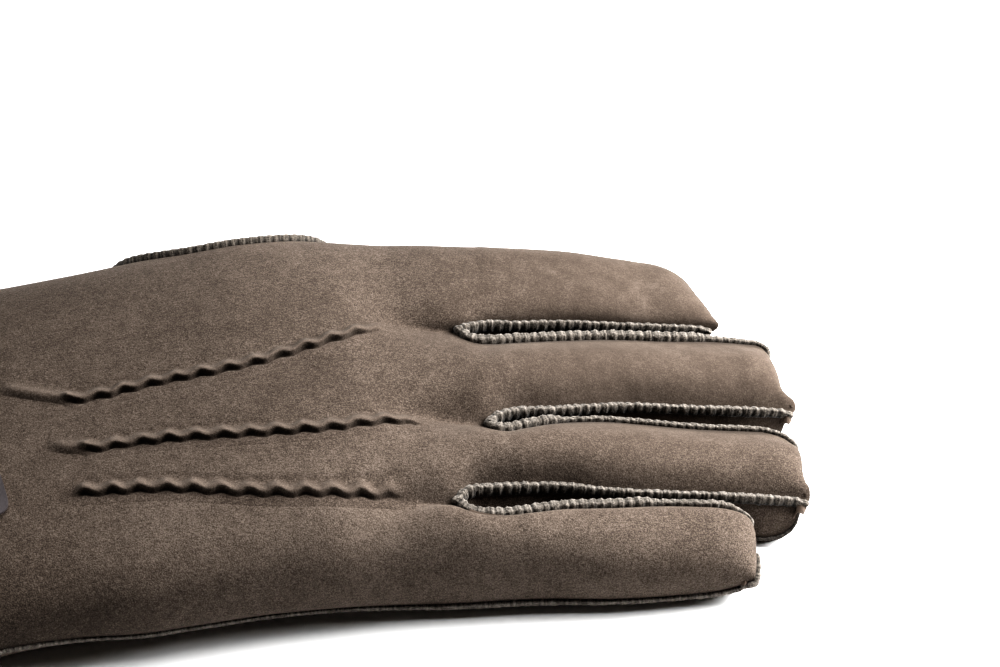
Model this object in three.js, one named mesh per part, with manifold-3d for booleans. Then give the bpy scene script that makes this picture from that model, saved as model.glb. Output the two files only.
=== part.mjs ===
// A right-hand suede glove, hand sewn, lying on its palm with the thumb beside the hand.
// Millimetres. +X runs from the cuff to the fingertips, +Y from the little finger to the thumb, +Z up.
// The skin is a back panel and a palm panel that meet in a fold along the thumb side, three forked side
// strips between the fingers and a thumb. Their edges are overcast, so each seam is a raised rope.
// Tables and functions use the crotch between the ring and middle fingers as their origin. The whole
// glove is then moved so that the origin is in the middle of its underside.
import * as THREE from "three";
import { mergeVertices } from "three/addons/utils/BufferGeometryUtils.js";
import Module from "manifold-3d";

// Leather and seams
const skin = 1.8; // wall of the back, palm and thumb
const stripSkin = 1.2; // wall of the side strips
const ropeRadius = 1;
const ropeSides = 5;
const clearance = 0.45; // between neighbouring pieces
const seamStep = ropeRadius + clearance; // from the middle of a seam to the edge beside it

// Superellipse exponents of the hand's section, and how far its curve would dip below the table
const backPower = 2.8;
const nearPower = 3;
const palmSink = 5;
const crownPower = 2.6; // how boxy a finger's back is between its two seams

// The hand from above with its two outer fingers: the height of the back and how much it leans, the
// height at which each side is widest, and the exponent of the flank under the thumb side
const hand = [
  { x: -165, near: -59, far: 63, top: 33, tilt: 0, midNear: 12, midFar: 17, farPower: 2 },
  { x: -142, near: -56, far: 64, top: 32, tilt: 1, midNear: 11, midFar: 17, farPower: 2 },
  { x: -124, near: -51.5, far: 65, top: 32, tilt: 1, midNear: 10, midFar: 17.5, farPower: 2 },
  { x: -108, near: -47.5, far: 67, top: 32.5, tilt: 2, midNear: 9.5, midFar: 18, farPower: 1.6 },
  { x: -84, near: -47, far: 70, top: 34, tilt: 3, midNear: 9.5, midFar: 19.5, farPower: 1.1 },
  { x: -60, near: -47, far: 71.5, top: 36, tilt: 3.5, midNear: 9.5, midFar: 20.5, farPower: 0.9 },
  { x: -38, near: -47.5, far: 69, top: 35.5, tilt: 3.5, midNear: 9.5, midFar: 20.5, farPower: 0.9 },
  { x: -17, near: -48.2, far: 65.5, top: 33, tilt: 2.5, midNear: 9.5, midFar: 20, farPower: 0.9 },
  { x: 5, near: -49.6, far: 63.5, top: 30, tilt: 2, midNear: 9, midFar: 16.5, farPower: 1.3 },
  { x: 26, near: -52, far: 61.5, top: 27.5, tilt: 2, midNear: 8.5, midFar: 14, farPower: 2 },
  { x: 44, near: -52.7, far: 59, top: 24, tilt: 2, midNear: 8, midFar: 12.5, farPower: 2 },
];

// Slots between the fingers, nearest first: the middle of the slot, the distance between its two
// seams and their height. The first row is the back's crotch.
const slots = [
  {
    name: "little_ring",
    palmCrotch: -6,
    rows: [
      { x: -12, mid: -30, width: 0, z: 22.5 },
      { x: -9, mid: -29.8, width: 7, z: 22.2 },
      { x: -3, mid: -29.3, width: 9.5, z: 21.6 },
      { x: 5, mid: -28.4, width: 9, z: 20.6 },
      { x: 14, mid: -27.2, width: 7, z: 19.4 },
      { x: 26, mid: -27.2, width: 3.4, z: 18 },
      { x: 40, mid: -28.6, width: 2.7, z: 16.5 },
      { x: 56, mid: -29.8, width: 2.7, z: 14.5 },
      { x: 77, mid: -31.5, width: 2.7, z: 11 },
    ],
  },
  {
    name: "ring_middle",
    palmCrotch: 4,
    rows: [
      { x: -1, mid: -3.6, width: 0, z: 23.5 },
      { x: 2, mid: -3.2, width: 4.5, z: 23.2 },
      { x: 8, mid: -2, width: 4.8, z: 22.4 },
      { x: 16, mid: -0.4, width: 2.7, z: 21.2 },
      { x: 28, mid: 0.8, width: 3, z: 19.6 },
      { x: 36, mid: 1, width: 5.6, z: 18.2 },
      { x: 54, mid: -1.2, width: 6.6, z: 16.4 },
      { x: 71, mid: -2.4, width: 6.6, z: 14.4 },
      { x: 80, mid: -2.6, width: 6.6, z: 13 },
    ],
  },
  {
    name: "middle_index",
    palmCrotch: 0,
    rows: [
      { x: -5, mid: 29.5, width: 0, z: 26.9 },
      { x: -2, mid: 29.3, width: 4.5, z: 26.4 },
      { x: 3, mid: 29.6, width: 6.6, z: 25.6 },
      { x: 10, mid: 30, width: 6.6, z: 24.6 },
      { x: 24, mid: 30.7, width: 5, z: 23 },
      { x: 36, mid: 31, width: 2.9, z: 21.6 },
      { x: 50, mid: 30.6, width: 3, z: 20 },
      { x: 62, mid: 30.3, width: 4, z: 18.6 },
      { x: 77, mid: 29.8, width: 4, z: 16 },
    ],
  },
];
const palmSlotWidth = 2.7;
const palmRopeHeight = 1.9;

// Fingers, from the little one to the index: the furthest point, how much the outline falls back at
// each corner, and the height of the back at crownPlaces
const crownPlaces = [-14, 5, 30, 48, 66];
const fingers = [
  { tip: 60, nearCut: 6, farCut: 7, crown: [28, 27, 24, 20.5] },
  { tip: 77.2, nearCut: 1, farCut: 9, crown: [30, 28.5, 25.5, 22, 19] },
  { tip: 79.8, nearCut: 0.5, farCut: 7, crown: [32, 30, 27, 24, 21] },
  { tip: 64.5, nearCut: 0.5, farCut: 22, crown: [33.5, 31, 28, 23.5] },
];
const tipCurve = 1.7; // exponent of that fall
const tipRound = 7; // stretch, besides the corner cut, in which a finger rounds down to its tip
const tipLayers = 1.7; // how far the palm's edge lies below the back's at a tip, in seamSteps
const tipSeamDrop = 0.6; // how far the seam between them lies below the back's, in seamSteps
const knuckles = 34; // stretch behind each crotch in which the hand's section turns into the fingers'

// How far behind its crotch a panel's slit opens, and where the palm's slots widen towards the tips
const slitLead = { back: 3.2, palm: 2.2 };
const palmOpening = { before: 22, stretch: 20 };
const tiny = 0.01;

// Seam along the little finger's side: its height, half the height of its gap, how far it lies outside
// the skin, how much it climbs at the tip, and where its points are
const outerSeam = { height: 3.2, halfGap: 1.3, out: 0.4, tipClimb: 4 };
const outerPlaces = [-165, -150, -135, -120, -105, -90, -75, -60, -45, -30, -16, -4, 8, 20, 32, 42, 48, 51];

// Hole of the thumb: its reach along the hand, and around the hand's section in degrees
const thumbHole = { x: -66, halfLength: 31, angle: -6, halfAngle: 40 };
// Rings of the thumb: turn is the way that a ring faces, 0 out to the side and 90 along the hand
const thumbRings = [
  { x: -64.5, y: 73.4, z: 13.4, turn: 6, half: 25.5, rise: 10.2 },
  { x: -57.5, y: 75.8, z: 10.4, turn: 26, half: 20, rise: 9.2 },
  { x: -49, y: 77.4, z: 8.8, turn: 56, half: 14, rise: 8.6 },
  { x: -38, y: 76.4, z: 8.4, turn: 80, half: 10.8, rise: 8.4 },
  { x: -27, y: 74.6, z: 8.2, turn: 92, half: 10.2, rise: 8.2 },
  { x: -16, y: 72.6, z: 8, turn: 94, half: 9.6, rise: 8 },
  { x: -8.5, y: 71.6, z: 7.8, turn: 94, half: 8, rise: 6.8 },
  { x: -4.5, y: 71.2, z: 7.8, turn: 94, half: 5.2, rise: 4.6 },
];
const thumbTip = { x: -2.8, y: 71, z: 7.8 };
const thumbSides = 16;
const thumbCollar = { height: 1.8, lean: 0.7 }; // how far it stands up from its seam before it spreads
const thumbSeam = { steps: 32, lift: 0.35 };
const holeCut = { steps: 36, depth: 5, inside: 18, outside: 14 }; // solid that cuts the hole

// Side strips: distance from the seams at the crotch and at the tips, the gap above the palm's seam,
// and their steps from the tip to the crotch
const strip = { crotchGap: 0.9, tipGap: 5, lowGap: 0.25 };
const stripSteps = [1, 0.86, 0.7, 0.54, 0.4, 0.27, 0.16, 0.08, 0.03];

// Seams: where they end short of a tip's corner, and their steps from there to the crotch
const seamEnd = { back: 1.5, palm: 3 };
const backSteps = [1, 0.9, 0.79, 0.68, 0.57, 0.47, 0.37, 0.28, 0.2, 0.13, 0.075, 0.035, 0.012];
const palmSteps = [1, 0.96, 0.92, 0.87, 0.8, 0.7, 0.52, 0.34, 0.16, 0.05, 0.02];
const palmTurn = 0.2; // how far ahead of its crotch a palm seam turns round
const tipShares = [1, 0.93, 0.84, 0.73, 0.58, 0.42, 0.24, 0.1];

// Routes of the raised tucks on the back, and the tab at the wrist
const tuckPlaces = [-104, -84, -60, -40, -24];
const tucks = [
  { name: "tuck_little", from: -103.5, to: -24.5, y: [-20.7, -22.8, -27.4, -28.8, -27.6] },
  { name: "tuck_ring", from: -102.5, to: -18, y: [-7, -7.8, -10, -9.9, -6.9] },
  { name: "tuck_index", from: -107, to: -25, y: [10, 11.6, 13.3, 19.2, 26.2] },
];
const tuckSize = { width: 2.6, height: 2, steps: 16, lift: 0.45, endShare: 0.45, endPower: 0.4 };
const tuckProfile = [[-0.5, 0], [-0.35, 0.75], [0, 1], [0.35, 0.75], [0.5, 0]];
const wristTab = { x: -138.4, y: -18, length: 34, width: 24, thick: 1.5, lift: 0.6, turn: 14 };
const tabGrid = { cells: 5, corner: 0.88 }; // corner: share of their reach that the corners keep

const radians = Math.PI / 180;
const lerp = THREE.MathUtils.lerp;
const clamp01 = (t) => THREE.MathUtils.clamp(t, 0, 1);
const smooth = (t) => THREE.MathUtils.smoothstep(t, 0, 1);
const signedPower = (value, power) => Math.sign(value) * Math.abs(value) ** power;

// One column of a table at x, on a cubic through its rows.
function column(rows, key, x) {
  const last = rows.length - 1;
  if (x <= rows[0].x) return rows[0][key];
  if (x >= rows[last].x) return rows[last][key];
  const i = rows.findIndex((row) => row.x > x) - 1;
  const slope = (a, b) => (rows[b][key] - rows[a][key]) / (rows[b].x - rows[a].x);
  const span = rows[i + 1].x - rows[i].x;
  const t = (x - rows[i].x) / span;
  const start = slope(Math.max(i - 1, 0), i + 1) * span;
  const end = slope(i, Math.min(i + 2, last)) * span;
  const rise = rows[i + 1][key] - rows[i][key];
  return rows[i][key] + t * (start + t * (3 * rise - 2 * start - end + t * (start + end - 2 * rise)));
}

function section(x) {
  const near = column(hand, "near", x);
  const far = column(hand, "far", x);
  return { near, far, mid: (near + far) / 2, half: (far - near) / 2 };
}

// A point on the hand's section, by its angle: 0 is the far side, 90 the top, 180 the near side.
function handAtAngle(x, degrees) {
  const { mid, half } = section(x);
  const sin = Math.sin(degrees * radians);
  const across = signedPower(Math.cos(degrees * radians), 2 / backPower);
  const level = lerp(column(hand, "midNear", x), column(hand, "midFar", x), (across + 1) / 2);
  const top = column(hand, "top", x) + column(hand, "tilt", x) * across;
  const power = across > 0 ? column(hand, "farPower", x) : nearPower;
  const above = level + (top - level) * Math.abs(sin) ** (2 / backPower);
  const below = Math.max(0, level - (level + palmSink) * Math.abs(sin) ** (2 / power));
  return [mid + half * across, sin >= 0 ? above : below];
}

// The angle at which the hand's section passes y, over the back.
function angleAt(x, y) {
  const { mid, half } = section(x);
  const across = THREE.MathUtils.clamp((y - mid) / half, -1, 1);
  return Math.acos(signedPower(across, backPower / 2)) / radians;
}

// The middle line of a slot, which runs on over the hand towards the wrist.
const crotch = (slot) => slot.rows[0].x;
const slotShare = slots.map((slot) => {
  const { mid, half } = section(crotch(slot));
  return (slot.rows[0].mid - mid) / half;
});
function slotMid(k, x) {
  if (x >= crotch(slots[k])) return column(slots[k].rows, "mid", x);
  const { mid, half } = section(x);
  return mid + half * slotShare[k];
}
const slotWidth = (k, x) => (x <= crotch(slots[k]) ? 0 : column(slots[k].rows, "width", x));
const ropeHeight = (k, x) => column(slots[k].rows, "z", x);

// How far a place has turned from hand to finger beside slot k: 1 from the crotch on.
const fingerShare = (k, x) => smooth((x - crotch(slots[k]) + knuckles) / knuckles);

// Edge of a back panel beside slot k. side is 1 for the finger further than the slot, or else -1.
const slitStart = (k) => crotch(slots[k]) - slitLead.back;
function backEdge(k, x, side) {
  if (x <= slitStart(k) + tiny) return slotMid(k, x);
  const slope = (slotWidth(k, x + 0.5) - slotWidth(k, x - 0.5)) / 2; // the step is square to the seam
  return slotMid(k, x) + side * (slotWidth(k, x) / 2 + seamStep * Math.hypot(1, slope));
}

// The palm's slots are narrow until near the tips, where they open as wide as the back's.
const tipCorner = (f, far) => fingers[f].tip - (far ? fingers[f].farCut : fingers[f].nearCut);
const slotEnd = (k) => Math.min(tipCorner(k, true), tipCorner(k + 1, false));
function palmWidth(k, x) {
  const past = x - slotEnd(k) + palmOpening.before;
  return lerp(palmSlotWidth, slotWidth(k, x), smooth(past / palmOpening.stretch));
}
const palmSlit = (k) => slots[k].palmCrotch - slitLead.palm;
const palmEdge = (k, x, side) =>
  slotMid(k, x) + (x <= palmSlit(k) + tiny ? 0 : side * (palmWidth(k, x) / 2 + seamStep));

// Reach of the rounded side of an outer finger, or of the hand behind it.
function nearReach(x) {
  const { near, half } = section(x);
  return lerp(half, (backEdge(0, x, -1) - near) / 2, fingerShare(0, x));
}
function farReach(x) {
  const { far, half } = section(x);
  return lerp(half, (far - backEdge(2, x, 1)) / 2, fingerShare(2, x));
}

// Angle, beyond 180, at which the near side has come down to height z.
function nearAngle(x, z) {
  const level = column(hand, "midNear", x);
  return 180 + Math.asin(((level - z) / (level + palmSink)) ** (nearPower / 2)) / radians;
}

// Height of the palm's underside at y, which is pressed flat on the table between its two flanks.
function palmHeight(x, y) {
  const flank = (level, power, away) => {
    const sin = Math.sqrt(1 - clamp01(1 - away) ** backPower);
    return level - (level + palmSink) * sin ** (2 / power);
  };
  const farPower = column(hand, "farPower", x);
  const { near, far } = section(x);
  const nearFlank = flank(column(hand, "midNear", x), nearPower, (y - near) / nearReach(x));
  const farFlank = flank(column(hand, "midFar", x), farPower, (far - y) / farReach(x));
  return Math.max(0, nearFlank, farFlank);
}

const crowns = fingers.map(({ crown }) => crown.map((z, i) => ({ x: crownPlaces[i], z })));

// The back's outer face at share s of strip f, before its tip is rounded.
function backPoint(f, s, x) {
  const top = column(crowns[f], "z", x);
  if (f === 1 || f === 2) {
    const y = lerp(backEdge(f - 1, x, 1), backEdge(f, x, -1), s);
    const base = lerp(ropeHeight(f - 1, x), ropeHeight(f, x), s);
    const onFinger = base + (top - base) * (1 - Math.abs(2 * s - 1) ** crownPower);
    const onHand = handAtAngle(x, angleAt(x, y))[1];
    return [y, lerp(onHand, onFinger, lerp(fingerShare(f - 1, x), fingerShare(f, x), s))];
  }
  // An outer finger: from its slot over the back and down its side
  const outer = f === 0;
  const slot = outer ? 0 : 2;
  const inside = backEdge(slot, x, outer ? -1 : 1);
  const start = outer ? nearAngle(x, outerSeam.height + outerSeam.halfGap) : angleAt(x, inside);
  const end = outer ? angleAt(x, inside) : 0;
  const onHand = handAtAngle(x, lerp(start, end, s));
  const turn = outer ? lerp(start, 0, s) : lerp(180, 0, s);
  const low = outer ? section(x).near : inside;
  const half = (outer ? inside - low : section(x).far - low) / 2;
  const sideLevel = column(hand, outer ? "midNear" : "midFar", x);
  const floor = outer === turn > 90 ? sideLevel : ropeHeight(slot, x);
  const sin = Math.sin(turn * radians);
  const above = floor + (top - floor) * Math.abs(sin) ** (2 / crownPower);
  const below = sideLevel - (sideLevel + palmSink) * Math.abs(sin) ** (2 / nearPower);
  const across = signedPower(Math.cos(turn * radians), 2 / backPower);
  const onFinger = [low + half * (1 + across), sin >= 0 ? above : below];
  const share = fingerShare(slot, x);
  return [lerp(onHand[0], onFinger[0], share), lerp(onHand[1], onFinger[1], share)];
}

// The palm's outer face at share s of strip f, before its tip is rounded.
function palmPoint(f, s, x) {
  const seamAngle = nearAngle(x, outerSeam.height - outerSeam.halfGap);
  const inset = 1 - Math.abs(Math.cos(seamAngle * radians)) ** (2 / backPower);
  const near = f > 0 ? palmEdge(f - 1, x, 1) : section(x).near + nearReach(x) * inset;
  const far = f < 3 ? palmEdge(f, x, -1) : section(x).far;
  const y = lerp(near, far, s);
  const foldGap = f === 3 && s === 1 ? clearance : 0;
  return [y, palmHeight(x, y) - foldGap];
}

// Outline of a fingertip: its last x at share s, and the height of the seam there.
function tipX(f, s) {
  const near = clamp01(1 - 2 * s) ** tipCurve;
  const far = clamp01(2 * s - 1) ** tipCurve;
  return fingers[f].tip - fingers[f].nearCut * near - fingers[f].farCut * far;
}
function tipHeight(f, s) {
  const near = f > 0 ? ropeHeight(f - 1, tipCorner(f, false)) : outerSeam.height + outerSeam.tipClimb;
  const far = f < 3 ? ropeHeight(f, tipCorner(f, true)) : column(hand, "midFar", tipCorner(f, true));
  return lerp(near, far, s);
}
const tipStart = (f) => fingers[f].tip - Math.max(fingers[f].nearCut, fingers[f].farCut) - tipRound;

// A place on a finger's back or palm: along runs on past the straight rows, 1 at the tip's seam.
function onFinger(f, s, along, isPalm) {
  const x = lerp(tipStart(f), tipX(f, s), along);
  const [y, z] = isPalm ? palmPoint(f, s, x) : backPoint(f, s, x);
  const arc = Math.sqrt(1 - along * along);
  const seam = tipHeight(f, s) - (isPalm ? tipLayers * seamStep : 0);
  return [x, y, lerp(seam, z, arc)];
}

const wasm = await Module();
wasm.setup();

function geometryOf(points, triangles) {
  const geometry = new THREE.BufferGeometry();
  geometry.setAttribute("position", new THREE.Float32BufferAttribute(points.flatMap((p) => [...p]), 3));
  geometry.setIndex(triangles.flat());
  return geometry;
}

function solidOf(geometry) {
  geometry.deleteAttribute("normal");
  geometry.deleteAttribute("uv");
  const merged = mergeVertices(geometry, 1e-4);
  const vertProperties = new Float32Array(merged.attributes.position.array);
  const triVerts = new Uint32Array(merged.index.array);
  return new wasm.Manifold(new wasm.Mesh({ numProp: 3, vertProperties, triVerts }));
}

function meshOf(solid) {
  const { vertProperties, triVerts } = solid.getMesh();
  const geometry = new THREE.BufferGeometry();
  geometry.setAttribute("position", new THREE.BufferAttribute(vertProperties, 3));
  geometry.setIndex(new THREE.BufferAttribute(triVerts, 1));
  return geometry;
}

// An open sheet of leather, whose outer face is given, that becomes a wall.
class Sheet {
  points = [];
  pulls = [];
  faces = [];
  keys = new Map();
  // Adds a point once for each key. pull, if given, is the way in which its thickness lies.
  point(key, at, pull = null) {
    if (!this.keys.has(key)) {
      this.keys.set(key, this.points.length);
      this.points.push(new THREE.Vector3(...at));
      this.pulls.push(pull);
    }
    return this.keys.get(key);
  }
  // Adds a quad, cut along its shorter diagonal. Corners that share a point leave a triangle.
  quad(a, b, c, d) {
    const [p, q, r, s] = [a, b, c, d].map((i) => this.points[i]);
    const pair = p.distanceTo(r) <= q.distanceTo(s) ? [[a, b, c], [a, c, d]] : [[a, b, d], [b, c, d]];
    this.faces.push(...pair.filter(([i, j, k]) => i !== j && j !== k && k !== i));
  }
  // The wall: the sheet, a copy of it moved inwards by the thickness, and a rim along its edges.
  wall(thickness) {
    const inward = this.points.map(() => new THREE.Vector3());
    for (const face of this.faces) {
      const [p, q, r] = face.map((i) => this.points[i]);
      const normal = r.clone().sub(p).cross(q.clone().sub(p)).normalize();
      face.forEach((i) => inward[i].add(normal));
    }
    const inner = this.points.map((p, i) => {
      const pull = this.pulls[i] ? new THREE.Vector3(...this.pulls[i]) : inward[i].normalize();
      return p.clone().addScaledVector(pull, thickness);
    });
    const edges = new Map();
    for (const [a, b, c] of this.faces)
      for (const [from, to] of [[a, b], [b, c], [c, a]])
        if (!edges.delete(`${to},${from}`)) edges.set(`${from},${to}`, [from, to]);
    const count = this.points.length;
    const rims = [...edges.values()].flatMap(([from, to]) => [
      [to, from, from + count],
      [to, from + count, to + count],
    ]);
    const inside = this.faces.map(([a, b, c]) => [c + count, b + count, a + count]);
    return geometryOf([...this.points, ...inner], [...this.faces, ...inside, ...rims]);
  }
}

const suede = new THREE.MeshStandardMaterial({ color: 0x786858, roughness: 0.95, metalness: 0 });
const overcast = new THREE.MeshStandardMaterial({ color: 0x948b80, roughness: 0.9, metalness: 0 });
const darkHide = new THREE.MeshStandardMaterial({ color: 0x3b3738, roughness: 0.7, metalness: 0 });
const glove = new THREE.Group();
function addPiece(name, geometry, material) {
  const mesh = new THREE.Mesh(geometry, material);
  mesh.name = name;
  glove.add(mesh);
}

// Rows of the two panels: the hand's, which all strips share, each finger's and each tip's
const handRows = [-165, -153, -140, -127, -114, -100, -88, -76, -64, -52, -40, -30, -21];
const backCrotchRows = [-15.2, -11.6, -10.2, -8.2, -4.2, 0.4, 6];
const palmCrotchRows = [-14, -8.2, -6.8, -2.2, -0.8, 1.8, 3.2];
const fingerRows = [13, 21, 30, 39, 48, 57, 65];
const tipRows = [0, 0.35, 0.62, 0.82, 0.94, 1];
const rowGap = 3; // least distance between a finger's last row and its tip's first
const backColumns = [
  [0, 0.06, 0.15, 0.27, 0.4, 0.55, 0.7, 0.86, 1],
  [0, 0.17, 0.38, 0.62, 0.83, 1],
  [0, 0.17, 0.38, 0.62, 0.83, 1],
  [0, 0.14, 0.3, 0.45, 0.6, 0.75, 0.88, 1],
];
const palmColumns = [
  [0, 0.06, 0.16, 0.5, 1],
  [0, 0.5, 1],
  [0, 0.5, 1],
  [0, 0.4, 0.58, 0.72, 0.83, 0.92, 0.965, 1],
];

function panel(columns, sharedRows, slitOf, isPalm) {
  const sheet = new Sheet();
  const place = (f, j, x, along) => {
    const s = columns[f][j];
    const last = columns[f].length - 1;
    const onSlit = (k) => x <= slitOf(k) + tiny;
    const fold = f === 3 && j === last ? [0, -1, 0] : null;
    const point = isPalm ? palmPoint : backPoint;
    const at = along === null ? [x, ...point(f, s, x)] : onFinger(f, s, along, isPalm);
    let key = `${f} ${j} ${x} ${along}`;
    if (along === null && j === 0 && f > 0 && onSlit(f - 1)) key = `slit ${f - 1} ${x}`;
    if (along === null && j === last && f < 3 && onSlit(f)) key = `slit ${f} ${x}`;
    return sheet.point(key, at, fold);
  };
  for (let f = 0; f < 4; f++) {
    const ownRows = fingerRows.filter((x) => x < tipStart(f) - rowGap);
    const rows = [
      ...[...sharedRows, ...ownRows].map((x) => [x, null]),
      ...tipRows.map((along) => [tipStart(f), along]),
    ];
    for (let i = 0; i + 1 < rows.length; i++)
      for (let j = 0; j + 1 < columns[f].length; j++) {
        const [a, b] = [place(f, j, ...rows[i]), place(f, j, ...rows[i + 1])];
        const [c, d] = [place(f, j + 1, ...rows[i + 1]), place(f, j + 1, ...rows[i])];
        if (isPalm) sheet.quad(a, d, c, b);
        else sheet.quad(a, b, c, d);
      }
  }
  return sheet;
}

// The ring round the thumb's hole, a step of offset outside it in the hand's surface, or inside it.
function holePoint(angle, offset, lift) {
  const at = (a) => {
    const x = thumbHole.x + thumbHole.halfLength * Math.cos(a);
    return new THREE.Vector3(x, ...handAtAngle(x, thumbHole.angle + thumbHole.halfAngle * Math.sin(a)));
  };
  const { x, y, z } = at(angle);
  const along = at(angle + 0.02).sub(at(angle - 0.02)).normalize();
  const turn = thumbHole.angle + thumbHole.halfAngle * Math.sin(angle);
  const [before, after] = [handAtAngle(x, turn - 0.5), handAtAngle(x, turn + 0.5)];
  const normal = new THREE.Vector3(0, after[1] - before[1], before[0] - after[0]).normalize();
  normal.addScaledVector(along, -normal.dot(along)).normalize();
  const out = normal.clone().cross(along);
  return new THREE.Vector3(x, y, z).addScaledVector(out, offset).addScaledVector(normal, lift);
}
const ringAngles = (count) => Array.from({ length: count }, (_, i) => (i / count) * 2 * Math.PI);

// A solid that cuts the thumb's hole through the hand's wall.
function holeCutter() {
  const { steps: count, depth, inside, outside } = holeCut;
  const inner = ringAngles(count).map((a) => holePoint(a, seamStep, -depth));
  const outer = ringAngles(count).map((a) => holePoint(a, seamStep, depth));
  const { x } = thumbHole;
  const [y, z] = handAtAngle(x, thumbHole.angle);
  const ends = [new THREE.Vector3(x, y - inside, z), new THREE.Vector3(x, y + outside, z)];
  const faces = [];
  for (let i = 0; i < count; i++) {
    const j = (i + 1) % count;
    faces.push([i, j, 2 * count], [i + count, 2 * count + 1, j + count]);
    faces.push([i, i + count, j], [j, i + count, j + count]);
  }
  return geometryOf([...inner, ...outer, ...ends], faces);
}

for (const name of ["back", "palm"]) {
  const isPalm = name === "palm";
  const sheet = isPalm
    ? panel(palmColumns, [...handRows, ...palmCrotchRows], palmSlit, true)
    : panel(backColumns, [...handRows, ...backCrotchRows], slitStart, false);
  const cut = solidOf(sheet.wall(skin)).subtract(solidOf(holeCutter()));
  addPiece(`${name}_panel`, meshOf(cut), suede);
}

// Side strips: each runs from a fingertip back to the crotch and out along the next finger
function sideStrip(k) {
  const sheet = new Sheet();
  const end = [tipCorner(k, true), tipCorner(k + 1, false)].map((x) => x - strip.tipGap);
  const legs = [...stripSteps.map((t) => [t, -1]), [0, 0], ...stripSteps.map((t) => [t, 1]).reverse()];
  const levels = [0, 0.5, 1];
  const place = (row, level) => {
    const [t, side] = legs[row];
    const last = end[side > 0 ? 1 : 0];
    const topX = lerp(crotch(slots[k]) + strip.crotchGap, last, t);
    const lowX = lerp(slots[k].palmCrotch + strip.crotchGap, last, t);
    const half = (width) => Math.max(0, width / 2 - stripSkin / 2);
    const topY = slotMid(k, topX) + side * half(slotWidth(k, topX));
    const lowY = slotMid(k, lowX) + side * half(palmWidth(k, lowX));
    const topZ = ropeHeight(k, topX) - seamStep;
    const lowZ = palmRopeAt(k, side, lowX) + seamStep + strip.lowGap;
    const at = [lerp(lowX, topX, level), lerp(lowY, topY, level), lerp(lowZ, topZ, level)];
    return sheet.point(`${row} ${level}`, at);
  };
  for (let i = 0; i + 1 < legs.length; i++)
    for (let j = 0; j + 1 < levels.length; j++) {
      const [low, high] = [levels[j], levels[j + 1]];
      sheet.quad(place(i, low), place(i + 1, low), place(i + 1, high), place(i, high));
    }
  return sheet.wall(stripSkin);
}

// Height of the palm seam's middle beside slot k, which climbs with the palm at the fingertip.
function palmRopeAt(k, side, x) {
  const f = side > 0 ? k + 1 : k;
  const s = side > 0 ? 0 : 1;
  const along = clamp01((x - tipStart(f)) / (tipX(f, s) - tipStart(f)));
  const arc = Math.sqrt(1 - along * along);
  return palmRopeHeight + lerp(tipHeight(f, s) - tipLayers * seamStep, 0, arc);
}
slots.forEach((slot, k) => addPiece(`side_strip_${slot.name}`, sideStrip(k), suede));

// A route whose steps are its own points: close together where it turns, and far apart elsewhere.
class Route extends THREE.CatmullRomCurve3 {
  getPointAt(t) {
    return this.getPoint(t);
  }
  getTangentAt(t) {
    return this.getTangent(t);
  }
  getSpacedPoints(count) {
    return this.getPoints(count);
  }
  computeFrenetFrames(count, closed) {
    const frames = super.computeFrenetFrames(count, closed);
    if (closed) for (const list of Object.values(frames)) list[count] = list[0];
    return frames;
  }
}
function rope(points, closed = false) {
  const shape = new THREE.Shape();
  for (let i = 0; i < ropeSides; i++) {
    const turn = (i / ropeSides) * 2 * Math.PI;
    shape[i ? "lineTo" : "moveTo"](ropeRadius * Math.cos(turn), ropeRadius * Math.sin(turn));
  }
  const path = new Route(points.map((p) => new THREE.Vector3(...p)), closed);
  const steps = closed ? points.length : points.length - 1;
  const tube = new THREE.ExtrudeGeometry(shape, { steps, extrudePath: path, bevelEnabled: false });
  if (!closed) return tube;
  const [, sides] = tube.groups; // a ring has no end faces
  const { array } = tube.attributes.position;
  const ring = new THREE.BufferGeometry();
  const around = array.slice(3 * sides.start, 3 * (sides.start + sides.count));
  ring.setAttribute("position", new THREE.BufferAttribute(around, 3));
  return mergeVertices(ring, 1e-4);
}

// The seam round a fingertip, from its far corner, s = 1, to its near one, just outside the edge.
function tipSeam(f, shares) {
  return shares.map((s) => {
    const [x, y, z] = onFinger(f, s, 1, false);
    const [before, after] = [s - 0.02, s + 0.02].map((share) => onFinger(f, clamp01(share), 1, false));
    const out = new THREE.Vector2(after[1] - before[1], before[0] - after[0]).setLength(seamStep);
    return [x + out.x, y + out.y, z - tipSeamDrop * seamStep];
  });
}

// The seam round a slot on the back: in along the further finger, out along the nearer, round its tip
function backSeam(k) {
  const start = crotch(slots[k]);
  const side = (t, sign) => {
    const x = lerp(start, tipCorner(sign > 0 ? k + 1 : k, sign < 0) - (sign > 0 ? seamEnd.back : 0), t);
    return [x, slotMid(k, x) + (sign * slotWidth(k, x)) / 2, ropeHeight(k, x)];
  };
  const inward = backSteps.map((t) => side(t, 1));
  const outward = backSteps.slice(1).map((t) => side(t, -1)).reverse();
  const turn = [start, slotMid(k, start), ropeHeight(k, start)];
  return [...inward, turn, ...outward, ...tipSeam(k, tipShares)];
}

function palmSeam(k) {
  const start = slots[k].palmCrotch;
  const side = (t, sign) => {
    const x = lerp(start, tipCorner(sign > 0 ? k + 1 : k, sign < 0) - seamEnd.palm, t);
    return [x, slotMid(k, x) + (sign * palmWidth(k, x)) / 2, palmRopeAt(k, sign, x)];
  };
  const turn = [start + palmTurn, slotMid(k, start), palmRopeHeight];
  return [...palmSteps.map((t) => side(t, 1)), turn, ...palmSteps.map((t) => side(t, -1)).reverse()];
}
slots.forEach((slot, k) => {
  addPiece(`seam_back_${slot.name}`, rope(backSeam(k)), overcast);
  addPiece(`seam_palm_${slot.name}`, rope(palmSeam(k)), overcast);
});
addPiece("seam_tip_index", rope(tipSeam(3, tipShares)), overcast);

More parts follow.
